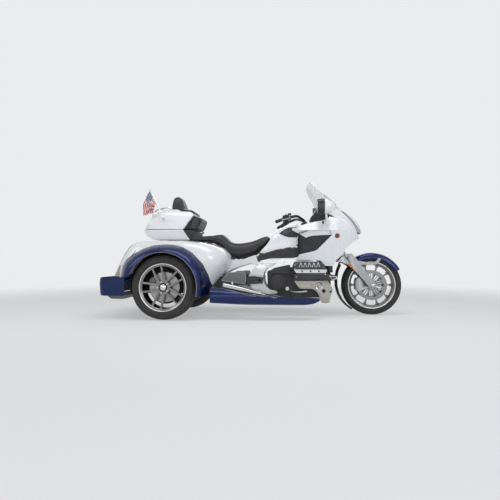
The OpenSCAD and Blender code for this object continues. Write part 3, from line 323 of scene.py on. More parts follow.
@dataclass(frozen=True)
class Vinyl(Finish):
    """Seat vinyl with a pebbled grain."""

    rough: float = 0.46

    def plain(self) -> dict[str, Value]:
        """Adds the sheen of soft plastic."""
        return {**super().plain(), "Sheen Weight": 0.15, "Sheen Roughness": 0.4}

    def links(self, graph: Graph) -> Links:
        """Grain, and a polish where people sit."""
        pebble = graph.cells(620.0, "SMOOTH_F1")
        worn = graph.noise(7.0, 3.0)
        return {
            "Base Color": graph.blend(worn, self.color, shade(self.color, 1.5)),
            "Roughness": worn * -0.14 + (graph.noise(90.0) * 0.1 + self.rough),
            "Normal": graph.bump(pebble, 0.0005, 0.5),
        }


@dataclass(frozen=True)
class Rubber(Finish):
    """Black rubber with dust in its pores."""

    rough: float = 0.8

    def links(self, graph: Graph) -> Links:
        """Dusty patches and pores."""
        dust = graph.noise(18.0, 6.0).ramp(0.4, 0.85)
        return {
            "Base Color": graph.blend(dust * 0.5, self.color, (0.09, 0.085, 0.08)),
            "Roughness": dust * 0.14 + (self.rough - 0.1),
            "Normal": graph.bump(graph.noise(700.0, 2.0), 0.0002, 0.6),
        }


@dataclass(frozen=True)
class Sidewall(Rubber):
    """Tyre rubber, with the moulded rings of its sidewall."""

    hub: tuple[float, float] = (0.0, 0.0)

    def links(self, graph: Graph) -> Links:
        """Rings round the axle in the rubber."""
        x, z = graph.axis("X") - self.hub[0], graph.axis("Z") - self.hub[1]
        reach = (x * x + z * z).math("SQRT")
        rings = (reach * 520.0).math("SINE") * 0.5 + 0.5
        base = super().links(graph)
        return {**base, "Normal": graph.bump(rings * 0.6 + graph.noise(700.0) * 0.4, 0.0006, 0.7)}


@dataclass(frozen=True)
class Clear(Finish):
    """Clear plastic or glass that shows what is behind it."""

    rough: float = 0.06
    coat: float = 1.0
    alpha: float = 0.25
    ribs: float = 0.0

    def links(self, graph: Graph) -> Links:
        """Faint haze, and the ribs of a lens."""
        haze = graph.noise(9.0, 3.0)
        made = {"Alpha": haze * 0.06 + (self.alpha - 0.03), "Roughness": haze * 0.05 + self.rough}
        if self.ribs:
            wave = (graph.axis("Y") * self.ribs).math("SINE") * 0.5 + 0.5
            made["Normal"] = graph.bump(wave, 0.001, 0.6)
        return made


@dataclass(frozen=True)
class Prism(Finish):
    """Coloured reflector plastic, full of small prisms."""

    rough: float = 0.12
    coat: float = 1.0

    def links(self, graph: Graph) -> Links:
        """Prism cells with a painted glint: each cell is painted lighter at its middle and darker at its rim, over
        their bump.
        """
        cube = graph.cells(240.0, "F1")
        return {
            # Painted glint: the reflector's colour is lighter at each cell's middle and darker at its rim
            "Base Color": graph.blend(cube.ramp(0.1, 0.6), shade(self.color, 1.25), shade(self.color, 0.55)),
            "Normal": graph.bump(cube, 0.0012, 0.8),
        }


@dataclass(frozen=True)
class TwoTone(Paint):
    """Paint that changes to black casing behind one place along the machine."""

    edge: float = 0.0
    casing: tuple[float, float, float] = (0.02, 0.02, 0.022)

    def links(self, graph: Graph) -> Links:
        """The paint's own links, with the casing's colour and grain behind the edge."""
        base = super().links(graph)
        ahead = graph.axis("X").ramp(self.edge - 0.001, self.edge + 0.001)
        return {**base, "Base Color": graph.blend(ahead, self.casing, base["Base Color"]),
                "Coat Weight": ahead * 0.9 + 0.05}


@dataclass(frozen=True)
class Bunting(Finish):
    """Woven flag cloth: stripes across the hoist, and a starred corner."""

    rough: float = 0.85

    def links(self, graph: Graph) -> Links:
        """Stripes, corner and stars from the cloth's UV map, over a fine weave."""
        place = graph.add("ShaderNodeUVMap", {"uv_map": "UVMap"})
        fly = graph.add("ShaderNodeSeparateXYZ", inputs={0: place}, out="X")
        hoist = graph.add("ShaderNodeSeparateXYZ", inputs={0: place}, out="Y")
        stripe = (hoist * 6.5).math("FRACT").math("LESS_THAN", 0.5)
        cloth = graph.blend(stripe, (0.78, 0.78, 0.76), (0.55, 0.02, 0.035))
        corner = fly.math("LESS_THAN", 0.4) * hoist.math("LESS_THAN", 7 / 13)
        across = (fly * 15.0).math("FRACT") - 0.5
        down = (hoist * 9.3).math("FRACT") - 0.5
        star = (across * across + down * down).math("SQRT").math("LESS_THAN", 0.3)
        field_tone = graph.blend(star, (0.02, 0.035, 0.16), (0.78, 0.78, 0.78))
        weave = (fly * 1600.0).math("SINE") * (hoist * 1100.0).math("SINE") * 0.5 + 0.5
        return {
            "Base Color": graph.blend(corner, cloth, field_tone),
            "Roughness": weave * 0.1 + (self.rough - 0.1),
            "Normal": graph.bump(weave, 0.0002, 0.6),
        }


@dataclass(frozen=True)
class Dial(Finish):
    """A printed round dial with tick marks and a red pointer, read from its UV map."""

    rough: float = 0.3
    coat: float = 0.6

    def links(self, graph: Graph) -> Links:
        """Ticks in a ring, and the pointer."""
        uv = graph.add("ShaderNodeUVMap", {"uv_map": "UVMap"})
        x = graph.add("ShaderNodeSeparateXYZ", inputs={0: uv}, out="X") - 0.5
        y = graph.add("ShaderNodeSeparateXYZ", inputs={0: uv}, out="Y") - 0.5
        reach = (x * x + y * y).math("SQRT")
        turn = y.math("ARCTAN2", x)
        ring = reach.math("GREATER_THAN", 0.36) * reach.math("LESS_THAN", 0.43)
        ticks = (turn * 20.0).math("COSINE").math("GREATER_THAN", 0.75) * ring
        needle = (turn + 0.7).math("ABSOLUTE").math("LESS_THAN", 0.05) * reach.math("LESS_THAN", 0.36)
        lit = graph.blend(ticks, self.color, (0.75, 0.75, 0.72))
        return {"Base Color": graph.blend(needle, lit, (0.7, 0.05, 0.02)),
                "Roughness": graph.noise(30.0) * 0.1 + (self.rough - 0.05)}


HUB_F = (FRONT_X, AXLE_Z)
HUB_R = (REAR_X, AXLE_Z)
WHITE = Paint("gloss_white", (0.80, 0.82, 0.85))
BLUE = FlakePaint("deep_blue_metallic", (0.001, 0.004, 0.035), metallic=0.6, coat=0.35, flake=(0.003, 0.03, 0.2))
BLACK = Moulded("grained_black", (0.022, 0.022, 0.025))
SATIN = Moulded("satin_black", (0.03, 0.03, 0.034), rough=0.36, grain=1500.0)
CHASSIS = Metal("chassis_black", (0.05, 0.05, 0.055), rough=0.45, metallic=0.4)
SILVER = Metal("cast_silver", (0.40, 0.41, 0.42), rough=0.36)
BRIGHT = Metal("bright_alloy", (0.66, 0.67, 0.68), rough=0.28, cast=0.2)
COVER = Metal("painted_silver", (0.50, 0.48, 0.44), rough=0.34, metallic=0.7, cast=0.25)
SHIELD = Metal("heat_shield", (0.17, 0.17, 0.175), rough=0.4, cast=0.3)
CASING = TwoTone("mirror_casing", (0.80, 0.82, 0.85), edge=FRONT_X - 0.528)
CAP = Paint("cap_face", (0.16, 0.012, 0.016))
DISPLAY = Paint("display_glass", (0.012, 0.018, 0.028), rough=0.12)
# Near-black: the real colour of black housings, shields and seals, and painted shade where it fills holes, slots and
# recesses
DARK = Moulded("black_and_painted_shade", (0.008, 0.008, 0.009), rough=0.7)
CHROME = Metal("chrome_plate", (0.78, 0.78, 0.80), rough=0.09, cast=0.04)
PIPE = Metal("muffler_chrome", (0.42, 0.42, 0.43), rough=0.2, cast=0.04)
STEEL = Turned("ground_steel", (0.36, 0.36, 0.37), rough=0.3, cast=0.3, hub=HUB_F)
STEEL_R = Turned("rear_disc_steel", (0.40, 0.40, 0.41), rough=0.34, cast=0.3, hub=HUB_R)
RIM_F = Turned("front_rim_metal", (0.21, 0.205, 0.20), rough=0.26, hub=HUB_F)
RIM_R = Turned("rear_rim_metal", (0.27, 0.265, 0.26), rough=0.26, hub=HUB_R)
TYRE_F = Sidewall("front_tyre_rubber", (0.022, 0.021, 0.021), hub=HUB_F)
TYRE_R = Sidewall("rear_tyre_rubber", (0.022, 0.021, 0.021), hub=HUB_R)
GRIP = Rubber("grip_rubber", (0.025, 0.025, 0.026), rough=0.7)
VINYL = Vinyl("seat_vinyl", (0.018, 0.018, 0.02))
SCREEN = Clear("screen_clear", (0.42, 0.46, 0.52), alpha=0.3)
LENS = Clear("lamp_lens", (0.9, 0.91, 0.93), alpha=0.4, ribs=900.0)
AMBER = Prism("amber_reflector", (0.85, 0.26, 0.02))
RED = Prism("red_reflector", (0.5, 0.01, 0.01))
WHITE_CLOTH = Rubber("white_sleeve_cloth", (0.72, 0.72, 0.70), rough=0.85)
THREAD = Rubber("seat_thread", (0.06, 0.06, 0.065), rough=0.7)
PIPING = Vinyl("seat_piping", (0.03, 0.03, 0.033), rough=0.4)
GLASS = Metal("mirror_glass", (0.62, 0.64, 0.66), rough=0.04, cast=0.0)
GREY = Moulded("grey_plastic", (0.16, 0.165, 0.17), rough=0.5)
ZINC = Metal("zinc_screws", (0.55, 0.55, 0.54), rough=0.35, cast=0.2)
BRASS = Metal("brass_fitting", (0.60, 0.42, 0.16), rough=0.25, cast=0.1)
SWITCH = Moulded("red_switch", (0.45, 0.015, 0.015), rough=0.35)
FLAG = Bunting("flag_cloth", (0.78, 0.78, 0.76))
FACE = Dial("dial_face", (0.012, 0.012, 0.014))

# The finish that each CAD node takes, and the width of its rounded edges in metres
DRESS = {
    "frame": (BRIGHT, 0.003), "engine": (CHASSIS, 0.006), "cylinder_heads": (SATIN, 0.004),
    "lower_cowl": (COVER, 0.004), "exhausts": (PIPE, 0.003), "radiators": (BLACK, 0.002),
    "wishbones": (CHASSIS, 0.002), "fairing_sides": (WHITE, 0.0015), "upper_cowl": (WHITE, 0.0015),
    "headlamps": (LENS, 0.002), "windscreen": (SCREEN, 0.001), "dash": (BLACK, 0.005),
    "mirrors": (CASING, 0.003), "tank_cover": (WHITE, 0.0015), "side_panels": (BLACK, 0.002),
    "tail_covers": (WHITE, 0.003), "footpegs": (BRIGHT, 0.003),
    "trunk_box": (WHITE, 0.004), "trunk_panel": (BLACK, 0.005), "rear_body": (WHITE, 0.0015),
    "rear_flares": (BLUE, 0.0015), "inner_tub": (BLACK, 0.001), "rear_bumper": (BLUE, 0.0015),
    "tail_lamps": (LENS, 0.002), "running_boards": (BLUE, 0.004), "rear_axle": (CHASSIS, 0.003),
    "trunk_lid": (WHITE, 0.006), "luggage_floor": (BLACK, 0.001), "inner_fairing": (BLACK, 0.001),
    "flag_staff": (CHROME, 0.001), "rear_hatch": (WHITE, 0.0015),
    "fork": (SILVER, 0.003), "fork_covers": (SILVER, 0.004), "front_fender": (BLUE, 0.0015),
    "mud_guard": (BLACK, 0.001), "calipers": (SILVER, 0.005), "handlebar": (SATIN, 0.001),
    "grips": (GRIP, 0.002), "front_rim": (RIM_F, 0.002), "front_discs": (STEEL, 0.0008),
    "rear_rim_right": (RIM_R, 0.003), "rear_rim_left": (RIM_R, 0.003),
}


class Forge:
    """Makes closed meshes from outlines and paths."""

    @staticmethod
    def mesh(name: str, work: bmesh.types.BMesh) -> bpy.types.Mesh:
        """Merges doubles, turns the faces outwards and returns the mesh."""
        bmesh.ops.remove_doubles(work, verts=work.verts, dist=1e-6)
        bmesh.ops.recalc_face_normals(work, faces=work.faces)
        made = bpy.data.meshes.new(name)
        work.to_mesh(made)
        work.free()
        return made

    @staticmethod
    def loft(rings: list[list[Vector]], closed: bool = False) -> bpy.types.Mesh:
        """Joins rings of points to a skin.

        Args:
            rings: Rings with the same number of points.
            closed: Whether the last ring joins the first; else both ends are capped.

        Returns:
            The mesh.
        """
        work = bmesh.new()
        rows = [[work.verts.new(point) for point in ring] for ring in rings]
        for a, b in zip(rows, rows[1:] + (rows[:1] if closed else [])):
            for k in range(len(a)):
                work.faces.new((a[k], a[k - 1], b[k - 1], b[k]))
        if not closed:
            work.faces.new(rows[0])
            work.faces.new(rows[-1][::-1])
        return Forge.mesh("loft", work)

    @staticmethod
    def tube(path: list[Vector], radius: float, sides: int = 10, closed: bool = False) -> bpy.types.Mesh:
        """A round cord along a path."""
        rings, side = [], Vector((0.31, 0.43, 0.85))
        last = len(path) - 1
        for i, point in enumerate(path):
            ahead = path[(i + 1) % len(path)] if closed else path[min(i + 1, last)]
            behind = path[i - 1] if closed else path[max(i - 1, 0)]
            way = (ahead - behind).normalized()
            side = (side - way * side.dot(way)).normalized()
            over = way.cross(side)
            turns = [2 * math.pi * k / sides for k in range(sides)]
            rings.append([point + radius * (math.cos(t) * side + math.sin(t) * over) for t in turns])
        return Forge.loft(rings, closed)

    @staticmethod
    def turned(profile: list[tuple[float, float]], hub: Vector, steps: int = 96) -> bpy.types.Mesh:
        """Turns a closed profile of radius and side distance, in millimetres, about the Y axis through the hub."""
        turns = [2 * math.pi * k / steps for k in range(steps)]
        return Forge.loft([[hub + MM * Vector((r * math.cos(t), y, r * math.sin(t))) for r, y in profile]
                           for t in turns], closed=True)

    @staticmethod
    def plate(outline: list[Vector], thick: Vector) -> bpy.types.Mesh:
        """A flat plate from its outline and the vector through its thickness."""
        return Forge.loft([outline, [point + thick for point in outline]])

    @staticmethod
    def rounded(points: list[Vector], radius: float, steps: int = 4) -> list[Vector]:
        """A closed outline with its corners rounded."""
        made = []
        for i, corner in enumerate(points):
            before, after = points[i - 1], points[(i + 1) % len(points)]
            a = corner + (before - corner).normalized() * min(radius, 0.45 * (before - corner).length)
            b = corner + (after - corner).normalized() * min(radius, 0.45 * (after - corner).length)
            for k in range(steps + 1):
                t = k / steps
                made.append((1 - t) ** 2 * a + 2 * t * (1 - t) * corner + t * t * b)
        return made

    @staticmethod
    def round(at: Vector, across: Vector, over: Vector, steps: int = 24) -> list[Vector]:
        """Points of a circle or an ellipse, from its middle and its two half axes."""
        turns = [2 * math.pi * k / steps for k in range(steps)]
        return [at + math.cos(t) * across + math.sin(t) * over for t in turns]

    @staticmethod
    def laid(skin: "Skin", outline: list[Vector], way: tuple[float, float, float], proud: float = 1.0,
             pitch: float = 14.0, sunk: float = 1.5) -> bpy.types.Mesh:
        """A thin cover that follows a surface within an outline.

        Args:
            skin: The surface.
            outline: The outline, anywhere before the surface.
            way: The direction in which it is laid on.
            proud: How far it stands out of the surface, in millimetres.
            pitch: The length of its edges in millimetres.
            sunk: How far it reaches into the surface.

        Returns:
            The closed mesh.
        """
        flat = bmesh.new()
        face = flat.faces.new([flat.verts.new(point) for point in outline])
        bmesh.ops.triangulate(flat, faces=[face])
        for _ in range(8):
            wide = [edge for edge in flat.edges if edge.calc_length() > pitch * MM]
            if not wide:
                break
            bmesh.ops.subdivide_edges(flat, edges=wide, cuts=1)
            bmesh.ops.triangulate(flat, faces=flat.faces[:])
        flat.verts.index_update()
        seen, spare = set(), []
        for face in flat.faces:
            key = frozenset(vert.index for vert in face.verts)
            spare += [face] if key in seen else []
            seen.add(key)
        bmesh.ops.delete(flat, geom=spare, context="FACES_ONLY")
        feet = [skin.drop(vert.co, way) for vert in flat.verts]
        work = bmesh.new()
        top = [work.verts.new(at + normal * proud * MM) for at, normal in feet]
        low = [work.verts.new(at - normal * sunk * MM) for at, normal in feet]
        for face in flat.faces:
            corners = [vert.index for vert in face.verts]
            work.faces.new([top[k] for k in corners])
            work.faces.new([low[k] for k in corners[::-1]])
        for edge in flat.edges:
            if len(edge.link_faces) == 1:
                a, b = (vert.index for vert in edge.verts)
                work.faces.new((top[a], top[b], low[b], low[a]))
        flat.free()
        return Forge.mesh("laid", work)

    @staticmethod
    def joined(meshes: list[bpy.types.Mesh]) -> bpy.types.Mesh:
        """Several meshes as one."""
        work = bmesh.new()
        for mesh in meshes:
            work.from_mesh(mesh)
        made = bpy.data.meshes.new("joined")
        work.to_mesh(made)
        work.free()
        return made

    @staticmethod
    def both(mesh: bpy.types.Mesh) -> bpy.types.Mesh:
        """The mesh and its mirror image on the other side."""
        other = mesh.copy()
        for vert in other.vertices:
            vert.co.y = -vert.co.y
        other.flip_normals()
        return Forge.joined([mesh, other])


@dataclass
class Skin:
    """The surface of a piece, to set other pieces on."""

    made: bpy.types.Object

    def __post_init__(self) -> None:
        """Builds the search tree."""
        self.tree = BVHTree.FromPolygons([v.co.copy() for v in self.made.data.vertices],
                                         [tuple(f.vertices) for f in self.made.data.polygons])

    def drop(self, start: Vector, way: tuple[float, float, float]) -> tuple[Vector, Vector]:
        """Where a line from a point meets the surface, and the normal there."""
        at, normal, _, _ = self.tree.ray_cast(start, Vector(way))
        if at is None:
            at, normal, _, _ = self.tree.find_nearest(start)
        return at, normal if normal.dot(Vector(way)) < 0 else -normal

    def flanks(self, places: tuple[tuple[float, float], ...], far: float = 700.0) -> list["Spot"]:
        """Spots on both sides of the surface.

        Args:
            places: Their X and Z in millimetres, X counted from the front axle.
            far: How far out the search begins, in millimetres.

        Returns:
            The spots.
        """
        found = []
        for side in (-1, 1):
            for x, z in places:
                at, up = self.drop(front(x, side * far, z), (0, -side, 0))
                found.append(Spot(at, up, Vector(AHEAD)))
        return found

    def near(self, point: Vector) -> tuple[Vector, Vector]:
        """The nearest point of the surface and its normal."""
        at, normal, _, _ = self.tree.find_nearest(point)
        return at, normal


@dataclass
class Spot:
    """A place for one repeated shape: its foot, its upward direction and its long direction."""

    at: Vector
    up: Vector
    along: Vector


class Shape(Enum):
    """The small shapes that are repeated."""

    SCREW = "screw"
    STITCH = "stitch"
    BLOCK = "block"
    SLAT = "slat"
    STUD = "stud"

    def mesh(self) -> bpy.types.Mesh:
        """Its mesh: one unit long, one wide and one high, with its foot at the origin."""
        sides, levels = {
            Shape.SCREW: (6, [(0.5, 0.0), (0.5, 0.72), (0.42, 1.0), (0.2, 1.0), (0.18, 0.7)]),
            Shape.STITCH: (8, [(0.5, 0.0), (0.5, 0.5), (0.36, 0.85), (0.12, 1.0)]),
            Shape.BLOCK: (4, [(0.52, -0.3), (0.52, 0.0), (0.47, 0.86), (0.43, 1.0)]),
            Shape.SLAT: (4, [(0.5, 0.0), (0.5, 0.7), (0.42, 1.0)]),
            Shape.STUD: (10, [(0.5, 0.0), (0.5, 0.6), (0.36, 1.0)]),
        }[self]
        square = sides == 4
        grow = math.sqrt(2.0) if square else 1.0
        turns = [2 * math.pi * (k + (0.5 if square else 0.0)) / sides for k in range(sides)]
        return Forge.loft([[Vector((r * grow * math.cos(t), r * grow * math.sin(t), z)) for t in turns]
                           for r, z in levels])


class Rows:
    """Repeats a small shape at marked places, by Geometry Nodes."""

    def __init__(self) -> None:
        """Builds the tree once."""
        self.tree = bpy.data.node_groups.new("rows", "GeometryNodeTree")
        face = self.tree.interface
        face.new_socket("Places", in_out="INPUT", socket_type="NodeSocketGeometry")
        face.new_socket("Shape", in_out="INPUT", socket_type="NodeSocketObject")
        face.new_socket("Size", in_out="INPUT", socket_type="NodeSocketVector")
        face.new_socket("Finish", in_out="INPUT", socket_type="NodeSocketMaterial")
        face.new_socket("Made", in_out="OUTPUT", socket_type="NodeSocketGeometry")
        graph = Graph(self.tree)
        given = self.tree.nodes.new("NodeGroupInput")
        asked = {name: Sock(self.tree, given.outputs[name]) for name in ("Places", "Shape", "Size", "Finish")}
        shape = graph.add("GeometryNodeObjectInfo", inputs={"Object": asked["Shape"], "As Instance": True},
                          out="Geometry")
        marks = [graph.add("GeometryNodeInputNamedAttribute", {"data_type": "FLOAT_VECTOR"}, {"Name": name})
                 for name in ("up", "along")]
        upright = graph.add("FunctionNodeAlignRotationToVector", {"axis": "Z"}, {"Vector": marks[0]})
        turned = graph.add("FunctionNodeAlignRotationToVector", {"axis": "X", "pivot_axis": "Z"},
                           {"Rotation": upright, "Vector": marks[1]})
        spread = graph.add("GeometryNodeInstanceOnPoints", inputs={
            "Points": asked["Places"], "Instance": shape, "Rotation": turned, "Scale": asked["Size"]})
        real = graph.add("GeometryNodeRealizeInstances", inputs={0: spread})
        dressed = graph.add("GeometryNodeSetMaterial", inputs={"Geometry": real, "Material": asked["Finish"]})
        out = self.tree.nodes.new("NodeGroupOutput")
        connect(self.tree, out.inputs[0], dressed)
        self.names = {item.name: item.identifier for item in face.items_tree if item.in_out == "INPUT"}

    def mesh(self, spots: list[Spot], shape: Shape, size: tuple[float, float, float],
             finish: Finish) -> bpy.types.Mesh:
        """Sets the shape at every spot.

        Args:
            spots: The places.
            shape: Which shape.
            size: Its length, width and height in millimetres.
            finish: Its finish.

        Returns:
            One plain mesh.
        """
        marks = bpy.data.meshes.new("marks")
        marks.from_pydata([spot.at for spot in spots], [], [])
        for name in ("up", "along"):
            layer = marks.attributes.new(name, "FLOAT_VECTOR", "POINT")
            layer.data.foreach_set("vector", [c for spot in spots for c in getattr(spot, name)])
        places, seed = bpy.data.objects.new("marks", marks), bpy.data.objects.new("seed", shape.mesh())
        for made in (places, seed):
            bpy.context.scene.collection.objects.link(made)
        rows = places.modifiers.new("rows", "NODES")
        rows.node_group = self.tree
        rows[self.names["Shape"]] = seed
        rows[self.names["Size"]] = [MM * side for side in size]
        rows[self.names["Finish"]] = finish.material()
        seen = places.evaluated_get(bpy.context.evaluated_depsgraph_get())
        result = bpy.data.meshes.new_from_object(seen)
        for made in (places, seed):
            bpy.data.objects.remove(made)
        return result


@dataclass
class Shop:
    """Makes finished pieces and hangs them on the bodies of the model."""

    bodies: dict[str, str] = field(default_factory=dict)
    slots: dict[str, str] = field(default_factory=dict)
    skins: dict[str, Skin] = field(default_factory=dict)
    rows: Rows = field(default_factory=Rows)

    def __post_init__(self) -> None:
        """Reads which body and which material slot each node has."""
        record = frame["record"]
        for body, members in record["behaviour"]["bodies"].items():
            self.bodies.update({node: body for node in members})
        self.slots = {row["node"]: row["material_slot"] for row in record["subparts"]}

    def piece(self, name: str, mesh: bpy.types.Mesh, finish: Finish, angle: float = 40.0) -> bpy.types.Object:
        """Links a mesh to the scene with its finish.

        Args:
            name: The piece's name.
            mesh: Its mesh, in place.
            finish: Its finish.
            angle: Edges sharper than this stay sharp.

        Returns:
            The new object.
        """
        made = bpy.data.objects.new(name, mesh)
        bpy.context.scene.collection.objects.link(made)
        mesh.materials.clear()
        mesh.materials.append(finish.material())
        mesh.shade_smooth()
        mesh.set_sharp_from_angle(angle=math.radians(angle))
        return made

    def applied(self, made: bpy.types.Object) -> bpy.types.Object:
        """Turns the object's modifiers into its mesh and returns the object."""
        seen = bpy.context.evaluated_depsgraph_get()
        baked = bpy.data.meshes.new_from_object(
            made.evaluated_get(seen), preserve_all_data_layers=True, depsgraph=seen)
        made.modifiers.clear()
        made.data = baked
        return made

    def hang(self, made: bpy.types.Object, node: str, replace: bool = False) -> bpy.types.Object:
        """Lets a piece ride with the body of a node.

        Args:
            made: The piece.
            node: A CAD node of the body that it rides on.
            replace: Whether it stands for that node.

        Returns:
            The piece.
        """
        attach(made, self.bodies[node])
        if replace:
            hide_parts(node)
        log.info("%s: %d faces on %s", made.name, len(made.data.polygons), self.bodies[node])
        return made

    def copy(self, node: str) -> bpy.types.Mesh:
        """A clean copy of a node's mesh, with its triangles merged into flat faces."""
        mesh = frame["nodes"][node].data.copy()
        work = bmesh.new()
        work.from_mesh(mesh)
        bmesh.ops.remove_doubles(work, verts=work.verts, dist=1e-6)
        bmesh.ops.dissolve_limit(
            work, angle_limit=math.radians(0.6), verts=work.verts, edges=work.edges, delimit={"NORMAL"})
        work.to_mesh(mesh)
        work.free()
        return mesh

    def dress(self, node: str, finish: Finish, edge: float) -> bpy.types.Object:
        """Makes a smooth copy of a node with rounded edges, which stands for it.

        Args:
            node: The CAD node.
            finish: Its finish.
            edge: The width of the rounded edges, 0 for none.

        Returns:
            The piece.
        """
        made = self.piece(node + "_skin", self.copy(node), finish)
        if edge:
            rounded = made.modifiers.new("edges", "BEVEL")
            rounded.width, rounded.segments, rounded.limit_method = edge, 2, "ANGLE"
            rounded.angle_limit = math.radians(38)
            rounded.harden_normals = True
            self.applied(made)
        self.skins[node] = Skin(made)
        return self.hang(made, node, replace=True)

    def add(self, name: str, mesh: bpy.types.Mesh, finish: Finish, node: str, edge: float = 0.0,
            rounds: int = 0, angle: float = 40.0) -> bpy.types.Object:
        """Finishes a further piece and hangs it beside a node.

        Args:
            name: The piece's name.
            mesh: Its mesh.
            finish: Its finish.
            node: The node that it rides with.
            edge: The width of its rounded edges in millimetres, 0 for none.
            rounds: Levels of subdivision.
            angle: Edges sharper than this stay sharp.

        Returns:
            The piece.
        """
        made = self.piece(name, mesh, finish, angle)
        if edge:
            bevel = made.modifiers.new("edges", "BEVEL")
            bevel.width, bevel.segments, bevel.limit_method = edge * MM, 2, "ANGLE"
        if rounds:
            smooth = made.modifiers.new("smooth", "SUBSURF")
            smooth.levels = smooth.render_levels = rounds
        if edge or rounds:
            self.applied(made)
        return self.hang(made, node)

    def repeat(self, name: str, spots: list[Spot], shape: Shape, size: tuple[float, float, float],
               finish: Finish, node: str) -> bpy.types.Object:
        """Hangs a row of repeated shapes beside a node, with the arguments of Rows.mesh."""
        return self.add(name, self.rows.mesh(spots, shape, size, finish), finish, node, angle=30.0)


@dataclass
class Tyre:
    """One tyre with its tread, between the rim and the floor."""

    node: str
    finish: Finish
    hub: Vector
    half: float
    radius: float = 320.0
    bead: float = 232.5
    lip: float = 252.0
    crown: float = 0.42
    power: float = 2.4
    rows: tuple[float, ...] = (-33.0, -11.0, 11.0, 33.0)
    block: tuple[float, float, float] = (30.0, 17.0, 6.0)
    count: int = 54

    def surface(self, y: float) -> float:
        """The radius of the tread's top at a distance from the middle."""
        return self.radius - self.crown * self.half * (abs(y) / self.half) ** self.power

    def profile(self) -> list[tuple[float, float]]:
        """The closed outline of the tyre, with the tread's ground sunk."""
        deep = self.block[2]
        edge = self.half * 0.84
        steps = [edge * (k / 8 - 1) for k in range(17)]
        tread = [(self.surface(y) - deep, y) for y in steps]
        wall = [(self.surface(edge) - deep - 8, self.half * 0.955), (self.surface(edge) - 28, self.half * 0.995),
                (self.lip + 26, self.half - 0.5), (self.lip + 9, self.half - 6.5),
                (self.lip + 1.2, self.half - 17.6), (self.bead, self.half - 19.3)]
        left = [(r, -y) for r, y in wall[::-1]]
        return left + tread + wall

    def build(self, shop: Shop) -> None:
        """Makes the carcass and the tread blocks."""
        carcass = shop.piece(self.node + "_carcass", Forge.turned(self.profile(), self.hub, 120), self.finish, 50.0)
        shop.hang(carcass, self.node, replace=True)
        spots = []
        for i, y in enumerate(self.rows):
            steep = self.crown * self.power * (abs(y) / self.half) ** (self.power - 1)
            slope = math.atan(steep) * math.copysign(1.0, y)
            for k in range(self.count):
                turn = 2 * math.pi * (k + 0.5 * (i % 2)) / self.count
                out = Vector((math.cos(turn), 0.0, math.sin(turn)))
                up = (out * math.cos(slope) + Vector((0.0, math.sin(slope), 0.0))).normalized()
                foot = self.hub + out * (self.surface(y) - self.block[2] - 0.6) * MM + Vector((0.0, y * MM, 0.0))
                skew = Vector((0.0, 0.3 * math.copysign(1.0, y), 0.0))
                spots.append(Spot(foot, up, out.cross(Vector((0.0, 1.0, 0.0))) + skew))
        shop.repeat(self.node + "_tread", spots, Shape.BLOCK, self.block, self.finish, self.node)


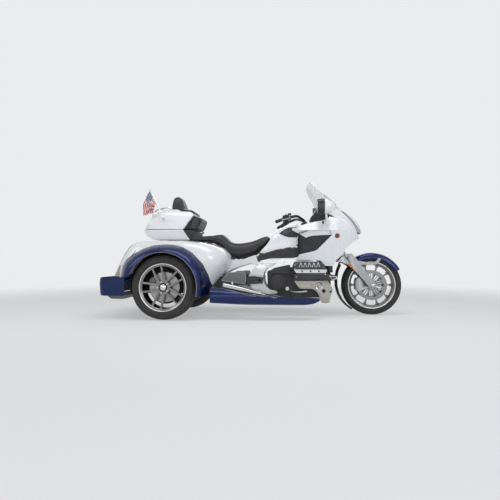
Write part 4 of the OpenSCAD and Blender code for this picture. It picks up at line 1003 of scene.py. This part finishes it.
@dataclass
class Upholstery:
    """The seat, the passenger's backrest and the pad behind the head."""

    voxel: float = 0.007
    frames: int = 20
    pressure: float = 4.0
    proud: float = 0.004
    cap: float = 0.012
    seam_deep: float = 0.0035
    seam_wide: float = 0.006

    def filled(self, shop: Shop, node: str, voxel: float) -> bpy.types.Object:
        """Copies a soft solid and lets it swell like foam under its cover.

        Args:
            shop: The shop.
            node: The CAD node.
            voxel: The size of the cloth's mesh in metres.

        Returns:
            The pad.
        """
        pad = shop.piece(node + "_pad", shop.copy(node), VINYL, 60.0)
        grid = pad.modifiers.new("grid", "REMESH")
        grid.mode, grid.voxel_size = "VOXEL", voxel
        shop.applied(pad)
        for vert, normal in zip(pad.data.vertices, [v.normal.copy() for v in pad.data.vertices]):
            vert.co -= normal * self.proud
        start = [v.co.copy() for v in pad.data.vertices]
        cloth = pad.modifiers.new("foam", "CLOTH")
        cloth.settings.use_pressure = True
        cloth.settings.uniform_pressure_force = self.pressure
        cloth.settings.effector_weights.gravity = 0.0
        for now in range(1, self.frames + 1):
            bpy.context.scene.frame_set(now)
        shop.applied(pad)
        bpy.context.scene.frame_set(1)
        for vert, first in zip(pad.data.vertices, start):
            moved = vert.co - first
            if moved.length > self.cap:
                vert.co = first + moved.normalized() * self.cap
        return pad

    def sewn(self, pad: bpy.types.Object, seams: list[list[Vector]]) -> list[list[tuple[Vector, Vector]]]:
        """Draws the cover in along its seams.

        Args:
            pad: The pad.
            seams: Paths near its surface.

        Returns:
            The seams on the surface, with the normals there.
        """
        skin = Skin(pad)
        laid = [[skin.near(point) for point in seam] for seam in seams]
        points = [at for seam in laid for at, _ in seam]
        cloud = BVHTree.FromPolygons(
            points + [p + Vector((0.0, 0.0, 1e-5)) for p in points] + [p + Vector((1e-5, 0.0, 0.0)) for p in points],
            [(k, k + len(points), k + 2 * len(points)) for k in range(len(points))])
        normals = [v.normal.copy() for v in pad.data.vertices]
        for vert, normal in zip(pad.data.vertices, normals):
            _, _, _, gap = cloud.find_nearest(vert.co, 0.03)
            if gap is not None:
                vert.co -= normal * self.seam_deep * math.exp(-((gap / self.seam_wide) ** 2))
        return laid

    def finish(self, shop: Shop, pad: bpy.types.Object, node: str, laid: list, fill: float) -> None:
        smooth = pad.modifiers.new("smooth", "SUBSURF")
        smooth.levels = smooth.render_levels = 1
        shop.applied(pad)
        shop.skins[node] = Skin(pad)
        shop.hang(pad, node, replace=True)
        spots = []
        cords = []
        for seam in laid:
            sunk = [at - normal * self.seam_deep * 0.5 for at, normal in seam]
            cords.append(Forge.tube(sunk, 0.0024, 8))
            for (a, n), (b, _) in zip(seam, seam[1:]):
                way = (b - a).normalized()
                beside = way.cross(n).normalized()
                for side in (-1, 1):
                    at, up = shop.skins[node].near(a + beside * side * 0.0085)
                    spots.append(Spot(at - up * 0.0004, up, way))
        shop.add(node + "_piping", Forge.joined(cords), PIPING, node)
        shop.repeat(node + "_stitches", spots, Shape.STITCH, (5.0, 1.5, 1.2), THREAD, node)

    @staticmethod
    def path(points: list[Vector], pitch: float = 0.0075) -> list[Vector]:
        """Points at an even pitch along a smooth line through the given ones."""
        line = []
        for i in range(len(points) - 1):
            a, b, c, d = points[max(i - 1, 0)], points[i], points[i + 1], points[min(i + 2, len(points) - 1)]
            steps = max(1, round((c - b).length / pitch))
            for k in range(steps):
                t = k / steps
                line.append(0.5 * ((2 * b) + (c - a) * t + (2 * a - 5 * b + 4 * c - d) * t * t
                                   + (3 * b - a - 3 * c + d) * t ** 3))
        return line + [points[-1]]

    def build(self, shop: Shop) -> None:
        """Makes the three pads."""
        pad = self.filled(shop, "seat", self.voxel)
        rim = [(-1862, 150, 843), (-1720, 158, 852), (-1640, 158, 864), (-1600, 156, 860), (-1560, 150, 822),
               (-1525, 150, 786), (-1470, 150, 768), (-1380, 152, 772), (-1300, 146, 786), (-1240, 132, 804),
               (-1190, 112, 828), (-1150, 92, 846), (-1115, 70, 854)]
        sides = [[front(x, s * y, z + 6) for x, y, z in rim] for s in (-1, 1)]
        low = [[front(x, s * 230, z) for x, z in ((-1850, 812), (-1720, 815), (-1620, 800), (-1560, 742),
                (-1500, 690), (-1400, 684), (-1300, 702), (-1200, 756), (-1140, 800))] for s in (-1, 1)]
        across = [[front(x, y, z) for y in (-150, -100, -50, 0, 50, 100, 150)]
                  for x, z in ((-1612, 870), (-1556, 832), (-1516, 786), (-1700, 866), (-1790, 860),
                               (-1440, 780), (-1350, 790))]
        laid = self.sewn(pad, [self.path(seam) for seam in sides + low + across])
        self.finish(shop, pad, "seat", laid, 0.75)
        pad = self.filled(shop, "backrest", 0.006)
        ring = [rear(200, y, z) for y, z in ((-205, 940), (-205, 1000), (-170, 1045), (0, 1052), (170, 1045),
                                             (205, 1000), (205, 940), (0, 934), (-205, 940))]
        ring = [point + Vector((0.09, 0.0, 0.0)) for point in ring]
        middle = [rear(300, y, 990) for y in (-180, -90, 0, 90, 180)]
        laid = self.sewn(pad, [self.path(ring), self.path(middle)])
        self.finish(shop, pad, "backrest", laid, 0.8)
        pad = self.filled(shop, "headrest", 0.0055)
        crown = [rear(x, y, z) for x, y, z in ((66, -82, 1165), (50, -82, 1225), (36, -68, 1270), (30, 0, 1285),
                                               (36, 68, 1270), (50, 82, 1225), (66, 82, 1165))]
        top = [rear(x, y, 1140) for x, y in ((90, -125), (190, -125), (206, 0), (190, 125), (90, 125))]
        laid = self.sewn(pad, [self.path(crown), self.path(top)])
        self.finish(shop, pad, "headrest", laid, 0.8)


@dataclass
class Flag:
    """The cloth flag on its slanting staff."""

    hoist: float = 0.15
    fly: float = 0.229
    across: int = 90
    down: int = 44
    off: float = -297.0
    edge: tuple[tuple[float, float], ...] = ((-245.5, 1333.0), (-186.5, 1196.0))
    end: tuple[tuple[float, float], ...] = ((-316.0, 1062.0), (-214.0, 1092.0))
    droop: float = 0.030
    depth: tuple[float, float] = (0.009, 0.0117)
    waves: tuple[float, float] = (14.0, 8.3)

    def point(self, u: float, v: float) -> Vector:
        """Where the cloth hangs, at u along the fly and v down the hoist."""
        start, end = (rear(a[0], self.off, a[1]).lerp(rear(b[0], self.off, b[1]), v) for a, b in (self.edge, self.end))
        sag = Vector((-self.droop * (1 - v) * math.sin(math.pi * u), 0.0, 0.0))
        deep = (self.depth[0] + self.depth[1] * v) * min(1.0, 4 * u)
        fold = deep * math.sin(u * (self.waves[0] + self.waves[1] * v) + 2.5 * v)
        fold += 0.004 * math.sin(17 * v + 5 * u) * u
        return start.lerp(end, u) + sag + Vector((0.0, -0.007 * min(1.0, 6 * u) - fold, 0.0))

    def build(self, shop: Shop) -> None:
        """Makes the cloth, its sleeve and the knob of the staff."""
        work = bmesh.new()
        uv = work.loops.layers.uv.new("UVMap")
        grid = [[work.verts.new(self.point(i / self.across, j / self.down)) for i in range(self.across + 1)]
                for j in range(self.down + 1)]
        for j in range(self.down):
            for i in range(self.across):
                face = work.faces.new((grid[j][i], grid[j + 1][i], grid[j + 1][i + 1], grid[j][i + 1]))
                places = ((i, j), (i, j + 1), (i + 1, j + 1), (i + 1, j))
                for loop, (a, b) in zip(face.loops, places):
                    loop[uv].uv = (a / self.across, b / self.down)
        area = sum(face.calc_area() for face in work.faces)
        mesh = bpy.data.meshes.new("flag")
        work.to_mesh(mesh)
        work.free()
        cloth = shop.piece("flag_cloth", mesh, FLAG, 180.0)
        body = cloth.modifiers.new("body", "SOLIDIFY")
        body.thickness, body.offset = 0.0006, 0.0
        shop.applied(cloth)
        shop.hang(cloth, "flag", replace=True)
        sleeve = [rear(-245.5 + 59 * t, -297, 1334 - 139 * t) for t in (0.0, 0.25, 0.5, 0.75, 1.0)]
        cover = shop.add("flag_sleeve", Forge.tube(sleeve, 0.0075, 14), WHITE_CLOTH, "flag")
        log.info("flag: %.4f m2 of cloth, cut to %.4f m2", area, self.fly * self.hoist)
        knob = [(r, y) for r, y in ((0, -9), (5, -8), (8.5, -3), (8.5, 3), (5, 8), (0, 9))]
        top = rear(-245, -297, 1336)
        rings = [[top + Vector((r * MM * math.cos(t), r * MM * math.sin(t), y * MM))
                  for t in [2 * math.pi * k / 16 for k in range(16)]] for r, y in knob[1:-1]]
        shop.add("flag_knob", Forge.loft(rings), BRASS, "flag_staff", rounds=1)


SIDE = (0.0, 1.0, 0.0)
BACK = (-1.0, 0.0, 0.0)
AHEAD = (1.0, 0.0, 0.0)
DOWN = (0.0, 0.0, -1.0)


@dataclass
class Nose:
    """Trim of the fairing, the lamps, the screen and the fork."""

    cap: tuple[float, float] = (-394.0, 838.0)
    lamps: int = 6
    lamp_depth: float = 0.016
    core: tuple[int, int] = (474, 732)
    fin_pitch: int = 9
    brow_top: float = 922.0
    brow: tuple[tuple[float, float], ...] = ((-852, 900), (-780, 862), (-709, 819), (-690, 829), (-642, 840),
                                             (-560, 845), (-447, 849))

    def build(self, shop: Shop) -> None:
        """Makes the trim."""
        sides = shop.skins["fairing_sides"]
        x, z = self.cap
        for name, size, proud, finish in (("cap_rim", 30, 2.5, CHROME), ("cap_face", 24.5, 4.0, CAP)):
            ring = Forge.round(front(x, -600, z), Vector((size * MM, 0, 0)), Vector((0, 0, size * MM)))
            shop.add(name, Forge.both(Forge.laid(sides, ring, SIDE, proud, 9)), finish, "fairing_sides", 0.6)
        rings, y = [], -0.3
        for x, low in self.brow:
            hit = sides.tree.ray_cast(front(x, -600, self.brow_top), Vector(SIDE))[0]
            y = hit.y if hit else y
            rings.append([front(x, 0, high) + Vector((0, y + deep, 0)) for high, deep in
                          ((self.brow_top, -0.0006), (low, 0.010), (low, 0.014), (self.brow_top, 0.004))])
        shop.add("vent_brows", Forge.both(Forge.loft(rings)), WHITE, "fairing_sides", 0.8)
        # A bright metal strip laid on the lower front of the screen
        strip = [front(-60, y, z) for y, z in ((-66, 1192), (66, 1192), (50, 1312), (-50, 1312))]
        shop.add("screen_garnish", Forge.laid(shop.skins["windscreen"], strip, BACK, 8.0), BRIGHT, "windscreen", 2.0)
        bowl = shop.copy("headlamps")
        for vert in bowl.vertices:
            vert.co.x -= self.lamp_depth
        shop.add("lamp_housing", bowl, DARK, "headlamps")
        spots = []
        for k in range(self.lamps):
            t = k / (self.lamps - 1)
            for side in (-1, 1):
                at, up = shop.skins["headlamps"].drop(front(-160 - 140 * t, side * 500, 915 + 165 * t), (0, -side, 0))
                spots.append(Spot(at - up * 0.011, up, Vector((-0.6, 0, 0.8))))
        shop.repeat("lamp_units", spots, Shape.STUD, (20, 16, 6), BRIGHT, "headlamps")
        cover = shop.skins["fork_covers"]
        amber = [front(x, -400, z) for x, z in ((-255, 542), (-237, 558), (-133, 448), (-151, 432))]
        shop.add("fork_reflectors", Forge.both(Forge.laid(cover, amber, SIDE, 4.0)),
                 AMBER, "fork_covers", 1.0)
        for size, name, finish, shape, high in ((32, "axle_caps", CHROME, Shape.STUD, 5),
                                                (19, "axle_nuts", ZINC, Shape.SCREW, 11)):
            spots = [Spot(front(0, s * 130.5, 320), Vector((0, s, 0)), Vector((1, 0, 0))) for s in (-1, 1)]
            shop.repeat(name, spots, shape, (size, size, high), finish, "fork")
        spots = shop.skins["fork"].flanks(((-222, 596), (-120, 480), (-30, 345)), 300)
        spots += shop.skins["calipers"].flanks(((-146, 345), (-146, 295)), 300)
        shop.repeat("fork_screws", spots, Shape.SCREW, (11, 11, 6), ZINC, "fork")
        fins = []
        for s in (-1, 1):
            for z in range(*self.core, self.fin_pitch):
                at, up = shop.skins["radiators"].drop(front(-300, s * 238, z), BACK)
                fins.append(Spot(at, up, Vector(SIDE)))
        shop.repeat("radiator_fins", fins, Shape.SLAT, (84, 1.6, 3), BRIGHT, "radiators")


@dataclass
class Flanks:
    """Trim of the engine, the covers and the running boards."""

    vents: int = 5
    vent_pitch: float = 44.0
    fog: tuple[float, float, float] = (-577.0, 0.0, 318.0)
    screws: tuple[tuple[float, float], ...] = ((-828, 560), (-590, 560), (-828, 500), (-520, 486), (-812, 415),
                                               (-520, 440))
    bolts: tuple[tuple[float, float], ...] = ((-1190, 380), (-1120, 540), (-1285, 330), (-1200, 245))
    far: float = 800.0
    corner: float = 5 * MM

    def side(self, shop: Shop, name: str, node: str, points: tuple, proud: float, finish: Finish) -> None:
        """Lays a cover on both sides of a node, from an outline in the side view.

        Args:
            shop: The shop.
            name: The cover's name.
            node: The node.
            points: Its corners in millimetres, X counted from the front axle.
            proud: How far it stands out, in millimetres.
            finish: Its finish.
        """
        outline = Forge.rounded([front(x, -self.far, z) for x, z in points], self.corner, 3)
        shop.add(name, Forge.both(Forge.laid(shop.skins[node], outline, SIDE, proud)), finish, node, 0.6)

    def build(self, shop: Shop) -> None:
        """Makes the trim."""
        inserts = []
        for i in range(self.vents):
            for s in (-1, 1):
                points = ((s * 18, -22), (s * 11.5, -22), (s * -0.5, 22), (s * 5.5, 22))
                outline = [front(-766 + self.vent_pitch * i + x, -347, 538 + z) for x, z in points]
                inserts.append(Forge.plate(outline, Vector((0, 0.006, 0))))
        shop.add("head_inserts", Forge.both(Forge.joined(inserts)), BRIGHT, "cylinder_heads", 0.5)
        heads = "cylinder_heads"
        self.side(shop, "head_plates", heads, ((-836, 491), (-500, 491), (-514, 456), (-812, 456)), 6.0, BRIGHT)
        # Dark discs laid just proud of the plates: painted shade standing for the plates' holes
        holes = []
        for x in (-754, -668, -583):
            ring = Forge.round(front(x, -600, 474), Vector((0.009, 0, 0)), Vector((0, 0, 0.009)), 16)
            holes.append(Forge.laid(shop.skins[heads], ring, SIDE, 6.6, 6))
        shop.add("head_plate_holes", Forge.both(Forge.joined(holes)), DARK, heads)
        for name, node, points, proud, finish in (
                ("bar_ends", heads, ((-486, 428), (-402, 422), (-400, 396), (-448, 386)), 3.0, CHROME),
                ("bar_end_panels", heads, ((-474, 420), (-412, 416), (-410, 402), (-450, 394)), 4.0, SATIN),
                ("shield_covers", "exhausts", ((-1582, 376), (-1430, 356), (-1342, 344), (-1334, 390), (-1344, 466),
                                               (-1498, 458), (-1544, 428)), 2.0, SHIELD),
                # The two dark slot outlines below are painted shade standing for open slots
                ("tail_slots", "tail_covers", ((-1572, 480), (-1554, 534), (-1512, 550), (-1530, 496)), 1.0, DARK),
                ("cowl_slots", "lower_cowl", ((-470, 262), (-448, 274), (-444, 258), (-464, 244)), 0.8, DARK)):
            self.side(shop, name, node, points, proud, finish)
        hub = front(*self.fog)
        for name, finish, profile in (
                ("fog_rings", CHROME, [(27.5, -297), (33, -299), (37.5, -295), (37.5, -289), (28, -289)]),
                ("fog_bowls", CHROME, [(9.5, -274), (27, -286), (27, -284), (9.5, -272)]),
                ("fog_lenses", LENS, [(0.3, -295), (16, -294), (27.8, -289.5), (27.8, -287.5), (16, -292),
                                      (0.3, -293)])):
            shop.add(name, Forge.both(Forge.turned(profile, hub, 48)), finish, "lower_cowl")
        # A dark disc on each side of the lower cowl: painted shade standing for a hole
        hole = [(0.3, -254), (19.6, -254), (19.6, -251), (0.3, -251)]
        shop.add("cowl_holes", Forge.both(Forge.turned(hole, front(-528, 0, 268), 32)), DARK, "lower_cowl")
        screws = shop.skins[heads].flanks(self.screws)
        shop.repeat("head_screws", screws, Shape.SCREW, (13, 13, 6), ZINC, heads)
        bolts = shop.skins["frame"].flanks(self.bolts)
        shop.repeat("pivot_bolts", bolts, Shape.STUD, (30, 30, 5), CHROME, "frame")
        bumps = []
        for s in (-1, 1):
            for x in range(-1130, -760, 26):
                at, up = shop.skins["running_boards"].drop(front(x, s * 470, 500), DOWN)
                bumps.append(Spot(at - up * 0.0005, up, Vector((0, 1, 0))))
        shop.repeat("board_treads", bumps, Shape.SLAT, (120, 12, 3), GRIP, "running_boards")


@dataclass
class Wheels:
    """Bright lips, caps, nuts and brake discs."""

    hole_rows: tuple[float, ...] = (133.0, 143.0, 153.0)
    holes: int = 36
    nuts: int = 5
    nut_circle: float = 54.0

    def build(self, shop: Shop) -> None:
        """Makes the trim."""
        hub = front(0, 0, 320)
        lip = [(243.5, -54.3), (247, -55.4), (251.6, -55), (252.3, -53.6), (243.5, -53.2)]
        shop.add("front_lips", Forge.both(Forge.turned(lip, hub, 120)), CHROME, "front_rim")
        # Dark studs barely proud of the discs: painted shade standing for the drilled holes
        holes = []
        for s in (-1, 1):
            for row, reach in enumerate(self.hole_rows):
                for k in range(self.holes):
                    turn = 2 * math.pi * (k + row / len(self.hole_rows)) / self.holes
                    at = hub + MM * Vector((reach * math.cos(turn), s * 62.9, reach * math.sin(turn)))
                    holes.append(Spot(at, Vector((0, s, 0)), Vector((1, 0, 0))))
        shop.repeat("disc_holes", holes, Shape.STUD, (6.5, 6.5, 0.5), DARK, "front_discs")
        for node, y, s in (("rear_rim_right", -590, -1), ("rear_rim_left", 590, 1)):
            hub = rear(0, y, 320)
            lip = [(227, s * 92.2), (230, s * 93.8), (235.4, s * 93.6), (236.4, s * 92), (227, s * 91.5)]
            shop.add(node + "_lip", Forge.turned(lip, hub, 120), CHROME, node)
            # The dark recess ring is painted shade in the hollow between the cap and the nuts
            for part, steps, finish, rides, profile in (
                    ("recess", 48, DARK, node, ((31, 71), (33, 73), (43, 73), (45, 71))),
                    ("cap", 48, CHROME, node, ((0.3, 71), (28, 71), (28, 77), (22, 82), (0.3, 84))),
                    ("disc", 96, STEEL_R, node, ((55, 8), (150, 8), (150, 15), (55, 15))),
                    ("shield", 72, DARK, "rear_axle", ((56, -34), (168, -34), (168, -31), (56, -31)))):
                ring = Forge.turned([(r, s * out) for r, out in profile], hub, steps)
                shop.add(f"{node}_{part}", ring, finish, rides)
            nuts = []
            for k in range(self.nuts):
                t = 2 * math.pi * (k + 0.5) / self.nuts
                at = Vector((self.nut_circle * math.cos(t), s * 71.5, self.nut_circle * math.sin(t)))
                nuts.append(Spot(hub + MM * at, Vector((0, s, 0)), Vector(AHEAD)))
            shop.repeat(node + "_nuts", nuts, Shape.SCREW, (19, 19, 13), CHROME, node)
            outline = ((-158, 20), (-150, 78), (-112, 104), (-84, 62), (-100, 26))
            body = [hub + MM * Vector((x, s * -36, z)) for x, z in outline]
            shop.add(node + "_caliper", Forge.plate(Forge.rounded(body, 0.01), Vector((0, s * 0.066, 0))),
                     SHIELD, "rear_axle", 3.0)


@dataclass
class Tail:
    """Trim of the rear body, the bumper and the trunk."""

    hatch_x: tuple[int, int] = (-588, -340)
    hatch_z: tuple[int, int] = (540, 776)
    arch: float = 343.0
    arch_y: float = -721.0
    rack_y: float = 105.0

    def seam(self, shop: Shop) -> list[Vector]:
        """Points along the joint between the hatch and the body, on the right-hand side."""
        hatch, path = shop.skins["rear_hatch"], []
        for z in range(*self.hatch_z, 8):
            found = [x for x in range(*self.hatch_x, 2) if hatch.tree.ray_cast(rear(x, -900, z), Vector(SIDE))[0]]
            if found:
                start = rear(found[-1] + 2, -900, z)
                at, _ = shop.skins["rear_body"].drop(start, SIDE)
                path.append(at)
        return path

    def build(self, shop: Shop) -> None:
        """Makes the trim."""
        path = self.seam(shop)
        shop.add("hatch_seals", Forge.both(Forge.tube(path, 0.0032, 8)), DARK, "rear_body")
        turns = [math.radians(a) for a in range(-13, 161, 3)]
        arch = [rear(self.arch * math.cos(t), self.arch_y, AXLE_Z / MM + self.arch * math.sin(t)) for t in turns]
        shop.add("flare_lips", Forge.both(Forge.tube(arch, 0.0045, 8)), GREY, "rear_flares")
        tray = [rear(x, -560, z) for x, z in ((-600, 240), (-390, 240), (-410, 206), (-440, 196), (-560, 198),
                                              (-590, 216))]
        shop.add("bumper_tray", Forge.plate(tray, Vector((0, 1.12, 0))), GREY, "rear_bumper", 5.0)
        lights = []
        for s in (-1, 1):
            for y, z in ((470, 500), (505, 500), (540, 500), (470, 450), (505, 450), (540, 450)):
                at, up = shop.skins["tail_lamps"].drop(rear(-800, s * y, z), AHEAD)
                lights.append(Spot(at - up * 0.016, up, Vector((0, 1, 0))))
        shop.repeat("tail_lamp_units", lights, Shape.STUD, (30, 30, 9), RED, "tail_lamps")
        rails = []
        for y in (-self.rack_y, self.rack_y):
            path = [rear(x, y, z) for x, z in ((-62, 1128), (-74, 1158), (-110, 1168), (-200, 1150), (-256, 1128),
                                               (-272, 1098), (-262, 1030))]
            rails.append(Forge.tube(Upholstery.path(path, 0.012), 0.0075, 12))
        for x, z in ((-100, 1167), (-180, 1154), (-250, 1130)):
            bar = [rear(x, -self.rack_y, z), rear(x, 0, z + 1), rear(x, self.rack_y, z)]
            rails.append(Forge.tube(bar, 0.0055, 10))
        shop.add("trunk_rack", Forge.joined(rails), CHROME, "trunk_lid")
        corners = ((-120, 1015), (120, 1015), (110, 958), (-110, 958))
        plate = Forge.rounded([rear(-800, y, z) for y, z in corners], 0.012)
        shop.add("trunk_reflector", Forge.laid(shop.skins["trunk_lid"], plate, AHEAD, 2.5), RED, "trunk_lid", 0.8)


@dataclass
class Cockpit:
    """Mirror glass, instruments, levers and switches."""

    tilt: tuple[float, float, float] = (-0.86, 0.0, 0.51)
    dial_y: float = 78.0
    dial_size: float = 0.044
    bezel: float = 0.046

    def dial(self, at: Vector, facing: Vector, size: float) -> bpy.types.Mesh:
        """A flat dial with a UV map."""
        across = facing.cross(Vector((0, 0, 1))).normalized()
        over = across.cross(facing)
        work = bmesh.new()
        uv = work.loops.layers.uv.new("UVMap")
        turns = [2 * math.pi * k / 32 for k in range(32)]
        rings = [[work.verts.new(at + size * (math.cos(t) * across + math.sin(t) * over) - facing * deep)
                  for t in turns] for deep in (0.0, 0.004)]
        faces = [work.faces.new(rings[0]), work.faces.new(rings[1][::-1])]
        faces += [work.faces.new((rings[0][k], rings[0][k - 1], rings[1][k - 1], rings[1][k])) for k in range(32)]
        for face in faces:
            for loop in face.loops:
                reach = (loop.vert.co - at) / (2 * size)
                loop[uv].uv = (0.5 + reach.dot(across), 0.5 + reach.dot(over))
        return Forge.mesh("dial", work)

    def build(self, shop: Shop) -> None:
        """Makes the trim."""
        mirrors = shop.skins["mirrors"]
        glass = Forge.round(front(-760, -395, 1133), Vector((0, 0.052, 0)), Vector((0, 0, 0.056)), 32)
        shop.add("mirror_glass", Forge.both(Forge.laid(mirrors, glass, AHEAD, 1.2)), GLASS, "mirrors", 0.4)
        dash = shop.skins["dash"]
        facing = Vector(self.tilt)
        over = facing.cross(Vector(SIDE))
        for name, y in (("speed", -self.dial_y), ("turns", self.dial_y)):
            at, _ = dash.drop(front(-900, y, 1260), tuple(-facing))
            shop.add(name + "_dial", self.dial(at + facing * 0.006, facing, self.dial_size), FACE, "dash")
            ring = Forge.round(at + facing * 0.006, Vector((0, self.bezel, 0)), self.bezel * over, 40)
            shop.add(name + "_bezel", Forge.tube(ring, 0.004, 8, closed=True), CHROME, "dash")
        at, _ = dash.drop(front(-900, 0, 1260), tuple(-facing))
        corners = ((-0.03, -0.03), (0.03, -0.03), (0.03, 0.03), (-0.03, 0.03))
        panel = [at + facing * 0.002 + Vector((0, y, 0)) + over * z for y, z in corners]
        shop.add("display", Forge.plate(Forge.rounded(panel, 0.006), facing * 0.004), DISPLAY, "dash", 0.5)
        parts = []
        for s in (-1, 1):
            points = ((-880, 300, 1040), (-876, 330, 1030), (-905, 380, 1012), (-958, 440, 992))
            lever = [front(x, s * y, z) for x, y, z in points]
            parts.append(Forge.tube(Upholstery.path(lever, 0.01), 0.0055, 10))
        shop.add("levers", Forge.joined(parts), BRIGHT, "handlebar", rounds=1)
        pots = [Spot(front(-880, s * 262, 1056), Vector((0, 0, 1)), Vector((1, 0, 0))) for s in (-1, 1)]
        shop.repeat("reservoirs", pots, Shape.STUD, (40, 40, 24), SATIN, "handlebar")
        knob = [Spot(front(-918, -306, 1056), Vector((0, 0, 1)), Vector((1, 0, 0)))]
        shop.repeat("kill_switch", knob, Shape.STUD, (18, 14, 10), SWITCH, "handlebar")
        at, up = dash.drop(front(-622, -400, 975), SIDE)
        shop.repeat("brass_union", [Spot(at, up, Vector((1, 0, 0)))], Shape.STUD, (34, 24, 18), BRASS, "dash")


@dataclass
class Studio:
    """The pale floor, the soft lamps and the camera."""

    eye: tuple[float, float, float] = (0.306, -4.980, 0.575)
    yaw: float = 4.57
    pitch: float = 1.45
    lens: float = 32.36
    pale: tuple[float, float, float] = (0.83, 0.84, 0.85)
    lamps: tuple[tuple[str, tuple, tuple, float], ...] = (
        ("top", (0.2, -1.2, 3.6), (3.6, 1.6), 52.0),
        ("front", (3.4, -3.2, 2.2), (1.6, 1.6), 24.0),
        ("rear", (-3.6, -2.6, 2.4), (1.6, 1.6), 20.0),
        ("behind", (0.0, 3.4, 2.8), (3.0, 1.0), 22.0),
        ("side", (0.3, -5.2, 1.7), (5.0, 1.6), 34.0),
    )

    def camera(self) -> None:
        """Sets the camera at the photograph's viewing angle."""
        data = bpy.data.cameras.new("camera")
        data.lens, data.sensor_width = self.lens, 36.0
        made = bpy.data.objects.new("camera", data)
        made.location = self.eye
        made.rotation_euler = (math.radians(90 + self.pitch), 0.0, math.radians(self.yaw))
        bpy.context.scene.collection.objects.link(made)
        bpy.context.scene.camera = made

    def lamp(self, name: str, at: tuple, size: tuple, power: float, aim: tuple = (0.0, 0.0, 0.6)) -> None:
        """Adds one soft rectangular lamp.

        Args:
            name: Its name.
            at: Its place in metres.
            size: Its width and height.
            power: Its power in watts.
            aim: The point that it looks at.
        """
        data = bpy.data.lights.new(name, "AREA")
        data.shape, data.size, data.size_y, data.energy = "RECTANGLE", *size, power
        made = bpy.data.objects.new(name, data)
        made.location = at
        made.rotation_euler = (Vector(aim) - Vector(at)).to_track_quat("-Z", "Y").to_euler()
        bpy.context.scene.collection.objects.link(made)

    def floor(self) -> None:
        """A round pale floor that fades into the background and hides nothing from below."""
        mesh = bpy.data.meshes.new("floor")
        work = bmesh.new()
        bmesh.ops.create_circle(work, cap_ends=True, radius=40.0, segments=96)
        work.to_mesh(mesh)
        work.free()
        made = bpy.data.objects.new("floor", mesh)
        bpy.context.scene.collection.objects.link(made)
        finish = bpy.data.materials.new("floor")
        finish.use_nodes = True
        graph = Graph(finish.node_tree)
        finish.node_tree.nodes.remove(finish.node_tree.nodes["Principled BSDF"])
        x, y = graph.axis("X"), graph.axis("Y")
        far = (x * x + y * y).math("SQRT").ramp(2.5, 7.5)
        matt = graph.add("ShaderNodeBsdfDiffuse", inputs={"Color": self.pale})
        glow = graph.add("ShaderNodeEmission", inputs={"Color": self.pale})
        under = graph.add("ShaderNodeBsdfTransparent")
        back = graph.add("ShaderNodeNewGeometry", out="Backfacing")
        top = graph.add("ShaderNodeMixShader", inputs={0: far * 0.55 + 0.45, 1: matt, 2: glow})
        both = graph.add("ShaderNodeMixShader", inputs={0: back, 1: top, 2: under})
        connect(finish.node_tree, finish.node_tree.nodes["Material Output"].inputs[0], both)
        mesh.materials.append(finish)

    def world(self) -> None:
        """A pale background that lights the model softly."""
        made = bpy.data.worlds.new("studio")
        made.use_nodes = True
        graph = Graph(made.node_tree)
        path = {name: graph.add("ShaderNodeLightPath", out=name)
                for name in ("Is Camera Ray", "Is Glossy Ray", "Is Transmission Ray")}
        seen = path["Is Camera Ray"].math("MAXIMUM", path["Is Transmission Ray"])
        seen = seen.math("MAXIMUM", path["Is Glossy Ray"] * 0.55)
        ground = made.node_tree.nodes["Background"]
        ground.inputs["Color"].default_value = (*self.pale, 1.0)
        connect(made.node_tree, ground.inputs["Strength"], seen * 0.6 + 0.4)
        bpy.context.scene.world = made

    def build(self) -> None:
        """Sets up the whole studio."""
        bpy.context.scene.view_settings.view_transform = "Standard"
        self.camera()
        self.world()
        self.floor()
        for name, at, size, power in self.lamps:
            self.lamp(name, at, size, power)


def main() -> None:
    """Builds the studio and dresses the trike."""
    logging.basicConfig(level=logging.INFO, format="%(message)s")
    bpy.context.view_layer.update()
    Studio().build()
    shop = Shop()
    for node, (finish, edge) in DRESS.items():
        shop.dress(node, finish, edge)
    Tyre("front_tyre", TYRE_F, front(0, 0, 320), 65.0).build(shop)
    for node, y in (("rear_tyre_right", -590), ("rear_tyre_left", 590)):
        Tyre(node, TYRE_R, rear(0, y, 320), 102.5, bead=218.5, lip=236.0, crown=0.16,
             rows=(-70.0, -35.0, 0.0, 35.0, 70.0), block=(34.0, 29.0, 7.0)).build(shop)
    for part in (Upholstery(), Flag(), Nose(), Flanks(), Wheels(), Tail(), Cockpit()):
        part.build(shop)


if __name__ == "__main__":
    main()
